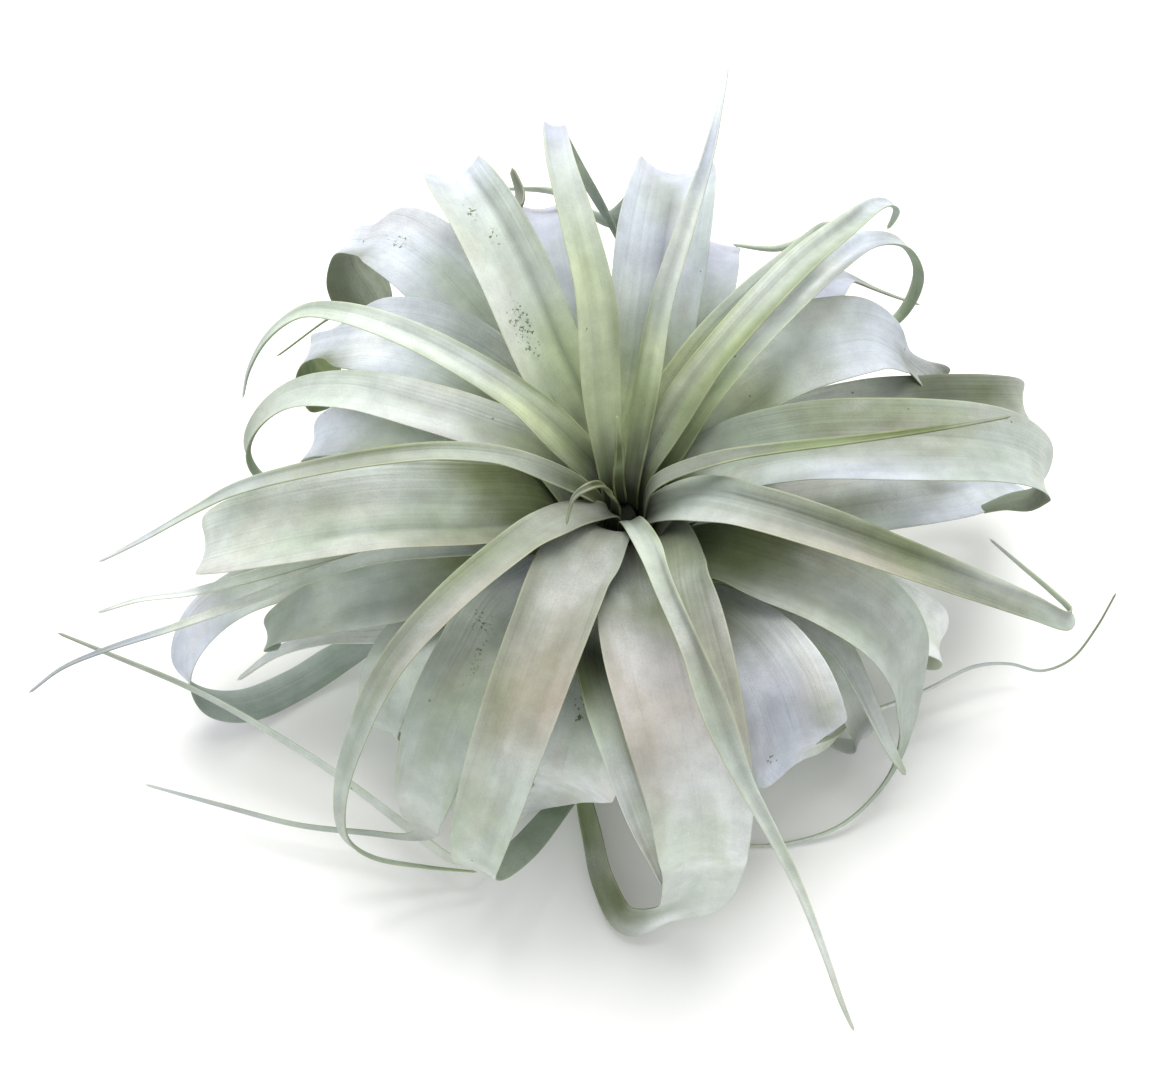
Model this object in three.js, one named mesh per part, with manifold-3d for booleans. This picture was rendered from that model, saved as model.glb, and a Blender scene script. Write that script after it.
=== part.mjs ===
// A xerographica air plant: a rosette of channelled leaves on a short woody stem.
// Millimetres, +Z up, +X right, +Y back. The origin is the middle of the stem's flat foot.
import * as THREE from "three";
import { mergeVertices } from "three/addons/utils/BufferGeometryUtils.js";
import Module from "manifold-3d";

const wasm = await Module();
wasm.setup();

// Driving dimensions.
const stemProfile = [[0, 0], [13, 0], [14, 8], [13, 30], [12, 52], [9, 70], [6, 82], [4.5, 88], [0, 91]];
const stemSides = 16;
const footGap = 1.1;
const bladeThickness = 1.3;
const marginThickness = 0.8;
const widthPerThickness = 20;
const tightestCurl = 1.2;
const clearance = 0.3;
const groundSize = 600;
const groundDepth = 40;
const stemColour = "#7d6a52";
const stemRoughness = 0.9;
const leafRoughness = 0.75;
const tiny = 1e-9;

// How finely a blade is cut: the longest step, the sharpest turn between two
// sections, and the points across a strap-like blade and a slender one.
const fineSteps = 200;
const longestStep = 42;
const sharpestTurn = 33;
const pointsAcross = 5;
const pointsAcrossSlender = 3;
const slenderWidth = 12;

// A leaf's sheath climbs out of the stem like a cup: height gained at each radius,
// and less of it on the low leaves, which leave the stem flatter.
const sheath = [[14, 9], [20, 20], [30, 29]];
const lowLeafHeight = 20;
const highLeafHeight = 60;
const lowLeafGain = 0.6;
const sheathMargin = 5;
const sheathReach = 26;
const sheathBlend = 20;
const sheathEnd = 0.5;
const steepestFold = 150;
const extraFold = 57;
const flattestFold = 1;
const widestFoot = 15;

// How far a blade is folded across, in degrees, at these shares of its length.
const foldStations = [0, 0.25, 0.6, 1];
const folds = {
  quill: [120, 110, 110, 130],
  narrow: [140, 110, 80, 130],
  strap: [140, 90, 60, 110],
  wide: [150, 70, 40, 85],
  cupped: [150, 95, 100, 100],
  broad: [150, 50, 22, 90],
};

const colours = {
  heart: "#b5c49c",
  inner: "#b9c6aa",
  middle: "#bcc6b8",
  outer: "#c3cbca",
};

// Each leaf from the heart outwards. foot: its bearing in degrees and height on the stem.
// midrib: right, back, up, the blade's width, and its roll in degrees where it is turned.
const leaves = [
  { name: "leaf_01_heart_spike", fold: "quill", tier: "heart", foot: [108, 86],
    midrib: [[-1, 3, 92, 5], [-2, 3, 106, 4.5], [-2, 4, 124, 3.5], [-3, 5, 144, 1]] },
  { name: "leaf_02_heart_curl", fold: "quill", tier: "heart", foot: [-135, 84],
    midrib: [[-3, -4, 98, 5], [-5, -8, 114, 4.5], [-9, -12, 127, 4], [-13, -15, 130, 3.4],
      [-17, -16, 126, 2.6], [-19, -18, 120, 1.8], [-20, -21, 116, 1]] },
  { name: "leaf_03_back_arch", fold: "narrow", tier: "heart", foot: [118, 82],
    midrib: [[-5, 8, 100, 9], [-8, 21, 130, 14.5], [-11, 37, 166, 15.5], [-17, 54, 186, 13.5],
      [-22, 71, 194, 11], [-24, 92, 188, 8.5], [-23, 103, 172, 7], [-17, 110, 148, 6],
      [-9, 113, 124, 5], [-4, 112, 112, 3.5], [0, 112, 100, 1.2]] },
  { name: "leaf_04_back_spear", fold: "narrow", tier: "heart", foot: [66, 83],
    midrib: [[3, 7, 100, 7], [7, 23, 126, 9.5], [13, 44, 156, 8.8], [21, 61, 178, 7],
      [27, 75, 192, 4.6], [31, 90, 200, 2.6], [34, 104, 206, 1]] },
  { name: "leaf_05_right_whip", fold: "quill", tier: "heart", foot: [0, 80],
    midrib: [[11, 0, 109, 6.5], [26, 2, 119, 6.5], [50, 2, 127, 5.4], [77, 4, 130, 4],
      [105, 11, 126, 2.6], [136, 22, 118, 1]] },
  { name: "leaf_06_left_whip", fold: "narrow", tier: "heart", foot: [182, 78],
    midrib: [[-9, 0, 97, 7], [-21, 0, 112, 9.5], [-39, 0, 124, 9], [-60, -1, 130, 8.5],
      [-83, -3, 130, 8], [-111, -5, 124, 7], [-135, -5, 112, 6], [-151, -6, 100, 4],
      [-171, -10, 87, 2.6], [-189, -13, 76, 1]] },
  { name: "leaf_07_upper_left_arch", fold: "narrow", tier: "inner", foot: [135, 76.5],
    midrib: [[-9, 10, 98, 11], [-19, 16, 110, 14], [-36, 24, 125, 13.5], [-57, 33, 136, 12],
      [-78, 44, 138, 10.5], [-100, 57, 131, 8.5], [-116, 65, 120, 6.5], [-130, 64, 106, 4.6],
      [-138, 58, 94, 3], [-141, 51, 86, 1]] },
  { name: "leaf_08_upper_right_hook", fold: "narrow", tier: "heart", foot: [52, 78],
    midrib: [[6, 9, 100, 10], [14, 17, 117, 13], [26, 27, 136, 13], [43, 41, 152, 12.5],
      [60, 58, 158, 11.5], [78, 79, 152, 9.5], [91, 98, 140, 7], [98, 107, 130, 5],
      [102, 112, 120, 3.6], [102, 114, 112, 2.4], [101, 115, 106, 1]] },
  { name: "leaf_09_front_spear", fold: "strap", tier: "inner", foot: [-74, 76.5],
    midrib: [[2, -8, 96, 8], [7, -26, 114, 9], [13, -53, 128, 7.6, 20], [21, -78, 133, 7.8, 25],
      [28, -98, 128, 10.4], [37, -114, 113, 6.4], [47.2, -126, 96, 4.4], [56.6, -137, 78, 3.3],
      [66, -152, 58, 2.5], [72.8, -164, 42, 1.9], [78.2, -171, 30, 0.9]] },
  { name: "leaf_10_front_left_loop", fold: "strap", tier: "inner", foot: [-139, 77],
    midrib: [[-5, -5, 97, 9], [-11, -8, 103, 12], [-22, -15, 110, 14.5], [-41, -33, 115, 14.5],
      [-60, -50, 112, 13.5], [-78, -65, 98, 12], [-91, -82, 78, 10], [-98, -96, 58, 7.5],
      [-98, -104, 40, 5.5], [-90, -106, 26, 4.4], [-72, -106, 16, 3], [-53, -106, 10, 1]] },
  { name: "leaf_11_right_strap", fold: "strap", tier: "inner", foot: [-10, 73.5],
    midrib: [[10, -2, 92, 13], [25, -6, 108, 18], [46, -17, 118, 18], [70, -25, 117, 17],
      [94, -29, 107, 15], [120, -32, 94, 12.5], [144, -34, 80, 10], [158, -34, 70, 7.5],
      [162, -27, 64, 5.5], [156, -19, 64, 4.4], [144, -9, 68, 3], [134, -1, 72, 1]] },
  { name: "leaf_12_upper_right_back", fold: "strap", tier: "inner", foot: [72, 75],
    midrib: [[7, 16, 98, 11], [14, 29, 112, 14], [28, 45, 126, 14], [45, 61, 134, 13],
      [62, 80, 132, 11], [74, 100, 122, 8], [80, 115, 106, 5.5], [74, 120, 95, 4.5],
      [61, 119, 89, 3], [44, 125, 84, 1.2]] },
  { name: "leaf_13_upper_right_arch", fold: "strap", tier: "inner", foot: [44, 71.5],
    midrib: [[12, 15, 90, 12], [24, 30, 104, 15], [40, 47, 116, 15], [58, 66, 122, 14.5],
      [75, 84, 122, 12.5], [91, 99, 118, 11], [105, 105, 109, 9], [112, 104, 97, 8],
      [113, 103, 84, 7], [109, 100, 72, 5.5], [100, 96, 64, 3]] },
  { name: "leaf_14_back_left_strap", fold: "cupped", tier: "inner", foot: [117, 69],
    midrib: [[-15, 28, 103, 25], [-28, 41, 131, 28], [-39, 58, 152, 29], [-49, 76, 160, 28],
      [-57, 92, 158, 26], [-60, 107, 146, 22], [-56, 119, 125, 16], [-48, 126, 108, 10],
      [-40, 130, 98, 8], [-38, 138, 98, 6.5], [-42, 147, 104, 3]] },
  { name: "leaf_15_left_loop", fold: "strap", tier: "inner", foot: [150, 65],
    midrib: [[-28, 19, 98, 20], [-51, 24, 108, 21], [-72, 30, 111, 20], [-98, 39, 108, 17],
      [-120, 43, 99, 13.5], [-133, 40, 88, 10.5], [-139, 36, 74, 9], [-136, 33, 62, 7.5],
      [-126, 30, 54, 3]] },
  { name: "leaf_16_front_left_strap", fold: "wide", tier: "middle", foot: [-117, 69],
    midrib: [[-9, -15, 102.5, 24], [-17, -33, 106.5, 29], [-26.5, -62, 109.5, 28],
      [-35.5, -86, 102, 26.5], [-44, -105, 84, 24], [-50, -116, 62, 20], [-51, -117, 44, 16],
      [-46, -112, 31, 14], [-36, -100, 22, 13], [-23, -81, 15, 10], [-8, -63, 11, 3]] },
  { name: "leaf_17_front_broad", fold: "wide", tier: "middle", foot: [-70, 63],
    midrib: [[8.5, -16, 93.5, 32], [10, -35, 98.5, 41], [14, -65, 107, 45], [19, -90, 106, 42],
      [24, -108, 90, 37], [26, -118, 68, 32], [27, -118, 46, 29], [24, -122, 28, 25],
      [14, -123, 15, 11, 10], [2, -123, 9, 14, 40], [-6, -109, 9, 12, 50], [-10, -91, 9, 11, 50],
      [-13, -78, 10, 9, 50], [-16, -64, 11, 3, 50]] },
  { name: "leaf_18_right_broad", fold: "wide", tier: "middle", foot: [14, 67],
    midrib: [[34, 12, 99, 31], [62, 14, 110, 34], [97, 13, 114, 35], [127, 17, 106, 34],
      [145, 20, 94, 31, 5], [154, 20.5, 81, 24, 14], [152, 19, 70, 14, 20], [144, 21, 63, 9, 20],
      [134, 19, 59, 4, 20]] },
  { name: "leaf_19_back_broad", fold: "cupped", tier: "middle", foot: [84, 61.5],
    midrib: [[8, 46, 100, 30], [12, 65, 130, 36], [15, 83, 147, 37], [18, 99, 149, 33],
      [19, 114, 138, 29], [15, 125, 118, 24], [6, 125, 105, 15], [-4, 123, 99, 11],
      [-15, 134, 94, 8], [-26, 144, 92, 6], [-45, 148, 90, 2]] },
  { name: "leaf_20_left_broad", fold: "wide", tier: "middle", foot: [180, 60.5],
    midrib: [[-31, -1, 93, 28], [-57, -9, 107, 33], [-84, -13, 113, 34], [-112, -16, 110, 33],
      [-134, -16, 100, 29], [-148, -11, 84, 23], [-150, -6, 71, 15], [-141, -3, 66, 9],
      [-128, 1, 68, 3]] },
  { name: "leaf_21_long_left_whip", fold: "narrow", tier: "middle", foot: [-166, 56],
    midrib: [[-51, -16, 92, 9], [-79, -20, 94, 7.5], [-96, -23, 92, 6], [-114, -28, 88, 5],
      [-140, -33, 78, 4], [-162, -36, 68, 3.2], [-186, -39, 58, 2.4], [-205, -42, 48, 1.6],
      [-218, -48, 40, 1]] },
  { name: "leaf_22_upper_right_broad", fold: "wide", tier: "middle", foot: [52, 56],
    midrib: [[40, 49, 94, 34], [60, 57, 105, 35], [80, 63, 107, 33], [92, 68, 101, 30],
      [103, 69, 91, 22], [108, 69, 83, 12], [114, 68, 77, 13, 10], [121, 67, 70, 19, 20],
      [119, 70, 60, 17, 25], [115, 69, 57, 6, 25]] },
  { name: "leaf_23_left_tip", fold: "narrow", tier: "middle", foot: [172, 53],
    midrib: [[-66, -4, 86, 8], [-105, -13, 82, 7], [-134, -19, 75, 5], [-155, -21, 68, 3.4],
      [-177, -20, 60, 2.2], [-193, -22, 54, 1]] },
  { name: "leaf_24_lower_right_sickle", fold: "wide", tier: "middle", foot: [-22, 54],
    midrib: [[48, -20, 86, 33], [72, -31, 87, 34], [90, -40, 79, 32], [100, -46, 63, 30],
      [103, -51, 46, 24], [104, -59, 31, 13], [99, -71, 16, 5.5], [83, -85, 6, 4],
      [64, -91, 2, 3.4], [47, -92, 1, 2.5], [29, -90, 3, 1]] },
  { name: "leaf_25_upper_left_fold", fold: "wide", tier: "outer", foot: [134, 50],
    midrib: [[-45, 47, 99, 31], [-67, 58, 107, 34], [-89, 67, 102, 33], [-101, 72, 93, 25],
      [-110, 77, 84, 14], [-119, 81, 74, 15], [-120, 83, 61, 24], [-113, 80, 51, 28],
      [-113, 79, 43, 16], [-128, 82, 38, 4], [-143, 81, 34, 1]] },
  { name: "leaf_26_upper_left_broad", fold: "wide", tier: "outer", foot: [118, 46.5],
    midrib: [[-34, 60, 86, 28], [-53, 80, 97, 34], [-72, 101, 102, 35], [-89, 115, 100, 30],
      [-98, 120, 92, 17], [-107, 128, 80, 16], [-107, 128, 65, 27], [-101, 124, 54, 31],
      [-98, 119, 47, 20], [-111, 121, 46, 5], [-139, 104, 38, 1]] },
  { name: "leaf_27_back_outer_left", fold: "wide", tier: "outer", foot: [96, 40.5],
    midrib: [[-15, 66, 81, 26], [-22, 90, 95, 29], [-27, 114, 97, 28], [-29, 140, 84, 23],
      [-30, 156, 66, 16], [-28, 160, 50, 9], [-24, 150, 42, 3]] },
  { name: "leaf_28_left_outer", fold: "wide", tier: "outer", foot: [152, 43.5],
    midrib: [[-53, 37, 78, 28], [-82, 40, 81, 28], [-106, 45, 72, 24], [-117, 49, 59, 19],
      [-117, 52, 45, 13], [-100, 54, 38, 4]] },
  { name: "leaf_29_right_outer", fold: "wide", tier: "outer", foot: [34, 45],
    midrib: [[59, 40, 75, 28], [91, 48, 80, 28], [118, 55, 76, 25], [144, 62, 66, 24, 4],
      [157, 69, 54, 20, 16], [154, 74, 40, 12, 30], [140, 74, 31, 4, 30]] },
  { name: "leaf_30_back_outer_right", fold: "broad", tier: "outer", foot: [76, 37],
    midrib: [[18, 67, 78, 28], [27, 89, 90, 29], [34, 112, 87, 24], [38, 130, 77, 19],
      [41, 141, 60, 16], [40, 145, 38, 12], [35, 139, 16, 8], [28, 125, 2, 5], [18, 104, 6, 2]] },
  { name: "leaf_31_lower_left_outer", fold: "wide", tier: "outer", foot: [-140, 51],
    midrib: [[-40, -35, 84, 29], [-51, -59, 89, 30], [-61, -78, 82, 28], [-68, -93, 64, 23],
      [-71, -98, 46, 16], [-71, -98, 30, 9], [-78, -96, 20, 5], [-92, -93, 16, 4],
      [-119, -89, 14, 3.6], [-149, -81, 14, 3], [-177, -74, 16, 1]] },
  { name: "leaf_32_right_under", fold: "wide", tier: "outer", foot: [6, 40],
    midrib: [[58, 10, 68, 30], [92, 16, 69, 31], [124, 26, 61, 28], [145, 40, 46, 22],
      [152, 51, 30, 15], [141, 54, 18, 9], [121, 52, 14, 4]] },
  { name: "leaf_33_upper_right_under", fold: "wide", tier: "outer", foot: [56, 33],
    midrib: [[37, 66, 72, 24], [59, 84, 86, 27], [74, 104, 81, 24], [84, 120, 70, 18],
      [93, 128, 58, 9], [103, 127, 53, 4], [112, 126, 49, 2.5], [123, 124, 46, 1]] },
  { name: "leaf_34_front_outer", fold: "broad", tier: "outer", foot: [-99, 46],
    midrib: [[-13, -64, 84, 36], [-17, -84, 82, 40], [-20, -91, 69, 39], [-20, -87, 50, 32],
      [-24, -83, 32, 18], [-37, -84, 20, 10], [-50, -94, 13, 5.5], [-60, -102, 12, 4.2],
      [-75, -93, 14, 4], [-90, -83, 19, 3.6], [-104, -74, 24, 3.2], [-126, -62, 32, 3],
      [-155, -47, 38, 2.6], [-191, -30, 36, 2], [-212, -21, 36, 1]] },
  { name: "leaf_35_left_under", fold: "wide", tier: "outer", foot: [-167, 47.5],
    midrib: [[-51, -18, 77, 26], [-79, -27, 81, 28], [-105, -31, 75, 23], [-122, -30, 61, 17],
      [-130, -29, 48, 12], [-127, -27, 38, 4]] },
  { name: "leaf_36_lower_right_broad", fold: "cupped", tier: "outer", foot: [-54, 42],
    midrib: [[38, -46, 79, 37], [50, -65, 80, 44], [55, -74, 70, 46], [58, -76, 60, 42],
      [62, -75, 50, 16], [67, -69, 38, 10], [77, -59, 24, 9], [88, -47, 18, 5], [102, -41, 16, 4],
      [116, -35, 16, 3], [135, -26, 18, 2.6], [149, -24, 16, 1.4], [162, -25, 12, 1.4],
      [174, -20, 12, 1.7], [184, -9, 16, 1.5], [192, 3, 24, 0.9]] },
  { name: "leaf_37_left_low_loop", fold: "wide", tier: "outer", foot: [178, 40],
    midrib: [[-56, 1, 62, 26], [-89, -6, 63, 26], [-118, -8, 58, 23], [-142, -15, 53, 21],
      [-157, -24, 44, 20], [-163, -35, 32, 17, 10], [-157, -39, 17, 16, 30], [-144, -37, 8, 15, 45],
      [-126, -27, 5, 14, 50], [-108, -16, 8, 13, 50], [-93, -13, 14, 5, 50]] },
  { name: "leaf_38_front_strip", fold: "strap", tier: "middle", foot: [-96, 55],
    midrib: [[-11, -52, 91, 14], [-8, -77, 96, 14], [-2, -95, 87, 12], [5, -108, 67, 10],
      [11, -114, 46, 7], [17, -119, 27, 4], [24, -119, 15, 1.5]] },
  { name: "leaf_39_lower_left_under", fold: "wide", tier: "outer", foot: [-150, 36.5],
    midrib: [[-54, -22, 60, 26], [-71, -39, 66, 27], [-81, -51, 62, 25], [-86, -59, 50, 20],
      [-86, -60, 36, 14], [-80, -58, 25, 8], [-66, -49, 18, 3]] },
  { name: "leaf_40_lower_right_tip", fold: "strap", tier: "middle", foot: [-28, 36],
    midrib: [[56, -30, 70, 13], [76, -40, 64, 11], [85, -50, 53, 9], [92, -60, 42, 7],
      [99, -68, 30, 5], [105, -72, 20, 1.6]] },
  { name: "leaf_41_right_low", fold: "wide", tier: "outer", foot: [-8, 32.5],
    midrib: [[62, -7, 60, 24], [89, -19, 60, 25], [107, -24, 51, 24], [118, -24, 38, 21],
      [118, -24, 25, 14], [105, -22, 19, 4]] },
  { name: "leaf_42_left_low_tip", fold: "strap", tier: "middle", foot: [-163, 31.5],
    midrib: [[-64, -21, 50, 10], [-86, -26, 46, 9], [-109, -24, 38, 7], [-129, -25, 28, 5],
      [-146, -32, 18, 1.6]] },
  { name: "leaf_43_lower_right_under", fold: "wide", tier: "outer", foot: [-24, 28.5],
    midrib: [[49, -21, 53, 21], [69, -35, 50, 19], [81, -46, 39, 15], [87, -50, 26, 15],
      [91, -52, 13, 15], [88, -52, 4, 10], [76, -48, 1.5, 4]] },
];

const radians = THREE.MathUtils.degToRad;
const blend = THREE.MathUtils.lerp;
const ease = THREE.MathUtils.smoothstep;

// Value at x of the straight-line graph through [x, y] pairs.
function graph(pairs, x) {
  const last = pairs.length - 1;
  if (x <= pairs[0][0]) return pairs[0][1];
  if (x >= pairs[last][0]) return pairs[last][1];
  const next = pairs.findIndex((pair) => pair[0] > x);
  const [x0, y0] = pairs[next - 1];
  const [x1, y1] = pairs[next];
  return blend(y0, y1, (x - x0) / (x1 - x0));
}

function stemRadius(height) {
  return graph(stemProfile.slice(1).map(([radius, up]) => [up, radius]), height);
}

// The midrib's control points: the foot at the stem, the sheath, then the leaf's own.
function controlPoints(leaf) {
  const [bearing, rise] = leaf.foot;
  const own = leaf.midrib.map(([x, y, z, width, roll = 0]) => [x, y, z, width, roll]);
  const firstRadius = Math.hypot(own[0][0], own[0][1]);
  const footWidth = Math.min(own[0][3], widestFoot);
  const footRadius = stemRadius(rise) + footGap;
  const at = (radius, height) => {
    const grown = (radius - footRadius) / Math.max(firstRadius - footRadius, 1);
    const x = radius * Math.cos(radians(bearing));
    const y = radius * Math.sin(radians(bearing));
    return [x, y, height, blend(footWidth, own[0][3], grown), 0];
  };
  const high = THREE.MathUtils.mapLinear(rise, lowLeafHeight, highLeafHeight, lowLeafGain, 1);
  const cup = sheath.filter(([radius]) => radius < firstRadius - sheathMargin)
    .map(([radius, gain]) => at(radius, rise + gain * Math.min(high, 1)));
  return [at(footRadius, rise), ...cup, ...own];
}

// A smooth line through the control points, as evenly spaced [x, y, z, width, roll].
function threadThrough(points) {
  const knots = [0];
  for (let i = 1; i < points.length; i++) {
    const [a, b] = [points[i - 1], points[i]];
    knots.push(knots[i - 1] + Math.sqrt(Math.hypot(b[0] - a[0], b[1] - a[1], b[2] - a[2])));
  }
  const slope = (i, k) => (points[i + 1][k] - points[i][k]) / (knots[i + 1] - knots[i]);
  const last = points.length - 1;
  const tangents = points.map((point, i) => point.map((value, k) => {
    if (i === 0) return slope(0, k);
    if (i === last) return slope(last - 1, k);
    const before = knots[i] - knots[i - 1];
    const after = knots[i + 1] - knots[i];
    return (after * slope(i - 1, k) + before * slope(i, k)) / (before + after);
  }));
  const stepsPerSpan = 40;
  const dense = [];
  for (let i = 0; i < last; i++) {
    const span = knots[i + 1] - knots[i];
    for (let step = 0; step < stepsPerSpan; step++) {
      const s = step / stepsPerSpan;
      dense.push(points[i].map((value, k) => (2 * s ** 3 - 3 * s ** 2 + 1) * value
        + (s ** 3 - 2 * s ** 2 + s) * span * tangents[i][k]
        + (3 * s ** 2 - 2 * s ** 3) * points[i + 1][k]
        + (s ** 3 - s ** 2) * span * tangents[i + 1][k]));
    }
  }
  dense.push(points[last]);
  const lengths = [0];
  for (let i = 1; i < dense.length; i++) {
    const [a, b] = [dense[i - 1], dense[i]];
    lengths.push(lengths[i - 1] + Math.hypot(b[0] - a[0], b[1] - a[1], b[2] - a[2]));
  }
  const even = [];
  let from = 0;
  for (let step = 0; step <= fineSteps; step++) {
    const wanted = (lengths.at(-1) * step) / fineSteps;
    while (from < lengths.length - 2 && lengths[from + 1] < wanted) from++;
    const share = (wanted - lengths[from]) / (lengths[from + 1] - lengths[from]);
    even.push(dense[from].map((value, k) => blend(value, dense[from + 1][k], share)));
  }
  return even;
}

// Carry a side direction along the line without twist, then add each point's own roll.
function framesAlong(line, bearing) {
  const places = line.map(([x, y, z]) => new THREE.Vector3(x, y, z));
  const last = places.length - 1;
  const ahead = places.map((place, i) => {
    const before = places[Math.max(i - 1, 0)];
    const after = places[Math.min(i + 1, last)];
    return after.clone().sub(before).normalize();
  });
  const start = new THREE.Vector3(-Math.sin(radians(bearing)), Math.cos(radians(bearing)), 0);
  const sides = [start.addScaledVector(ahead[0], -start.dot(ahead[0])).normalize()];
  for (let i = 0; i < last; i++) {
    const chord = places[i + 1].clone().sub(places[i]);
    const reflect = (vector, mirror) => vector.clone()
      .addScaledVector(mirror, (-2 * vector.dot(mirror)) / mirror.lengthSq());
    const side = reflect(sides[i], chord);
    const turned = ahead[i + 1].clone().sub(reflect(ahead[i], chord));
    const carried = turned.lengthSq() > tiny ** 2 ? reflect(side, turned) : side;
    sides.push(carried.addScaledVector(ahead[i + 1], -carried.dot(ahead[i + 1])).normalize());
  }
  return places.map((place, i) => {
    const roll = radians(line[i][4]);
    const side = sides[i].clone().applyAxisAngle(ahead[i], roll);
    const up = ahead[i].clone().cross(side).normalize();
    return { place, ahead: ahead[i], side, up, width: line[i][3], along: i / last };
  });
}

// Keep the sections that the bends need, more of them where the leaf curls.
function chooseSections(sections) {
  const effort = [0];
  for (let i = 1; i < sections.length; i++) {
    const length = sections[i].place.distanceTo(sections[i - 1].place);
    const turn = THREE.MathUtils.radToDeg(sections[i].ahead.angleTo(sections[i - 1].ahead));
    effort.push(effort[i - 1] + length / longestStep + turn / sharpestTurn);
  }
  const count = Math.ceil(effort.at(-1));
  const chosen = [];
  for (let k = 0; k <= count; k++) {
    const wanted = (effort.at(-1) * k) / count;
    chosen.push(sections[effort.findIndex((value) => value >= wanted - tiny)]);
  }
  return chosen;
}

// How far the blade is folded here: round the stem at its sheath, its own way further out.
function foldAt(section, leaf) {
  const profile = folds[leaf.fold].map((fold, i) => [foldStations[i], radians(fold)]);
  const own = graph(profile, section.along);
  const radius = Math.hypot(section.place.x, section.place.y);
  const wrapped = (section.width * Math.abs(section.ahead.z)) / Math.max(radius, 1);
  const sheathed = Math.min(wrapped, radians(steepestFold), own + radians(extraFold));
  const outside = ease(radius, sheathReach, sheathReach + sheathBlend);
  return blend(sheathed, own, section.along > sheathEnd ? 1 : outside);
}

// The blade as one closed skin: upper points, then lower points, ring after ring.
function bladeSolid(leaf, extra) {
  const line = threadThrough(controlPoints(leaf));
  const sections = chooseSections(framesAlong(line, leaf.foot[0]));
  const widest = Math.max(...leaf.midrib.map((point) => point[3]));
  const across = widest < slenderWidth ? pointsAcrossSlender : pointsAcross;
  const positions = [];
  for (const section of sections) {
    const { place, side, up } = section;
    const width = section.width + 2 * extra;
    const middleThickness = Math.min(bladeThickness, marginThickness + width / widthPerThickness);
    const foldLimit = width / (tightestCurl * middleThickness);
    const fold = Math.max(Math.min(foldAt(section, leaf), foldLimit), radians(flattestFold));
    const radius = width / fold;
    for (const face of [1, -1]) {
      for (let k = 0; k < across; k++) {
        const share = face * (2 * k / (across - 1) - 1);
        const angle = (share * fold) / 2;
        const thickness = blend(middleThickness, marginThickness, share ** 2) + 2 * extra;
        const lift = (face * thickness) / 2;
        const x = radius * Math.sin(angle) - lift * Math.sin(angle);
        const y = radius * (1 - Math.cos(angle)) + lift * Math.cos(angle);
        const point = place.clone().addScaledVector(side, x).addScaledVector(up, y);
        positions.push(point.x, point.y, point.z);
      }
    }
  }
  return solidOf(positions, skinTriangles(sections.length, across));
}

// Triangles of the skin. Upper and lower faces are split alike, so they never cross.
function skinTriangles(rings, across) {
  const triangles = [];
  const upper = (ring, k) => ring * 2 * across + k;
  const lower = (ring, k) => ring * 2 * across + 2 * across - 1 - k;
  for (let ring = 0; ring < rings - 1; ring++) {
    for (let k = 0; k < across - 1; k++) {
      const [a, b] = [upper(ring, k), upper(ring, k + 1)];
      const [c, d] = [upper(ring + 1, k), upper(ring + 1, k + 1)];
      triangles.push(a, c, d, a, d, b);
      const [e, f] = [lower(ring, k), lower(ring, k + 1)];
      const [g, h] = [lower(ring + 1, k), lower(ring + 1, k + 1)];
      triangles.push(e, h, g, e, f, h);
    }
    for (const [k, turn] of [[0, 1], [across - 1, -1]]) {
      const [a, b] = [upper(ring, k), lower(ring, k)];
      const [c, d] = [upper(ring + 1, k), lower(ring + 1, k)];
      if (turn > 0) triangles.push(a, b, d, a, d, c);
      else triangles.push(a, d, b, a, c, d);
    }
  }
  for (let k = 0; k < across - 1; k++) {
    const [a, b, c, d] = [upper(0, k), upper(0, k + 1), lower(0, k), lower(0, k + 1)];
    triangles.push(a, b, d, a, d, c);
    const last = rings - 1;
    const [e, f, g, h] = [upper(last, k), upper(last, k + 1), lower(last, k), lower(last, k + 1)];
    triangles.push(e, h, f, e, g, h);
  }
  return triangles;
}

function solidOf(positions, triangles) {
  const vertProperties = new Float32Array(positions);
  const triVerts = new Uint32Array(triangles);
  return new wasm.Manifold(new wasm.Mesh({ numProp: 3, vertProperties, triVerts }));
}

function solidFromGeometry(geometry) {
  geometry.deleteAttribute("normal");
  geometry.deleteAttribute("uv");
  const merged = mergeVertices(geometry);
  const corners = Array.from(merged.index.array);
  const triangles = [];
  for (let i = 0; i < corners.length; i += 3) {
    const [a, b, c] = corners.slice(i, i + 3);
    if (a !== b && b !== c && c !== a) triangles.push(a, b, c);
  }
  return solidOf(merged.attributes.position.array, triangles);
}

function largestBody(solid) {
  const bodies = solid.decompose();
  return bodies.reduce((best, body) => (body.volume() > best.volume() ? body : best));
}

function meshOf(solid, name, colour, roughness) {
  const { vertProperties, triVerts } = solid.getMesh();
  const geometry = new THREE.BufferGeometry();
  geometry.setAttribute("position", new THREE.BufferAttribute(vertProperties, 3));
  geometry.setIndex(new THREE.BufferAttribute(triVerts, 1));
  geometry.computeVertexNormals();
  const material = new THREE.MeshStandardMaterial({ color: colour, roughness, metalness: 0 });
  const mesh = new THREE.Mesh(geometry, material);
  mesh.name = name;
  return mesh;
}

// The stem: a squat woody column, widest just above its flat foot.
function stemSolid(extra) {
  const profile = stemProfile.map(([radius, up]) => {
    const grown = radius > 0 ? radius + extra : 0;
    return new THREE.Vector2(grown, up > 0 ? up + extra : up);
  });
  const lathe = new THREE.LatheGeometry(profile, stemSides);
  lathe.rotateX(Math.PI / 2);
  return solidFromGeometry(lathe);
}

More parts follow.
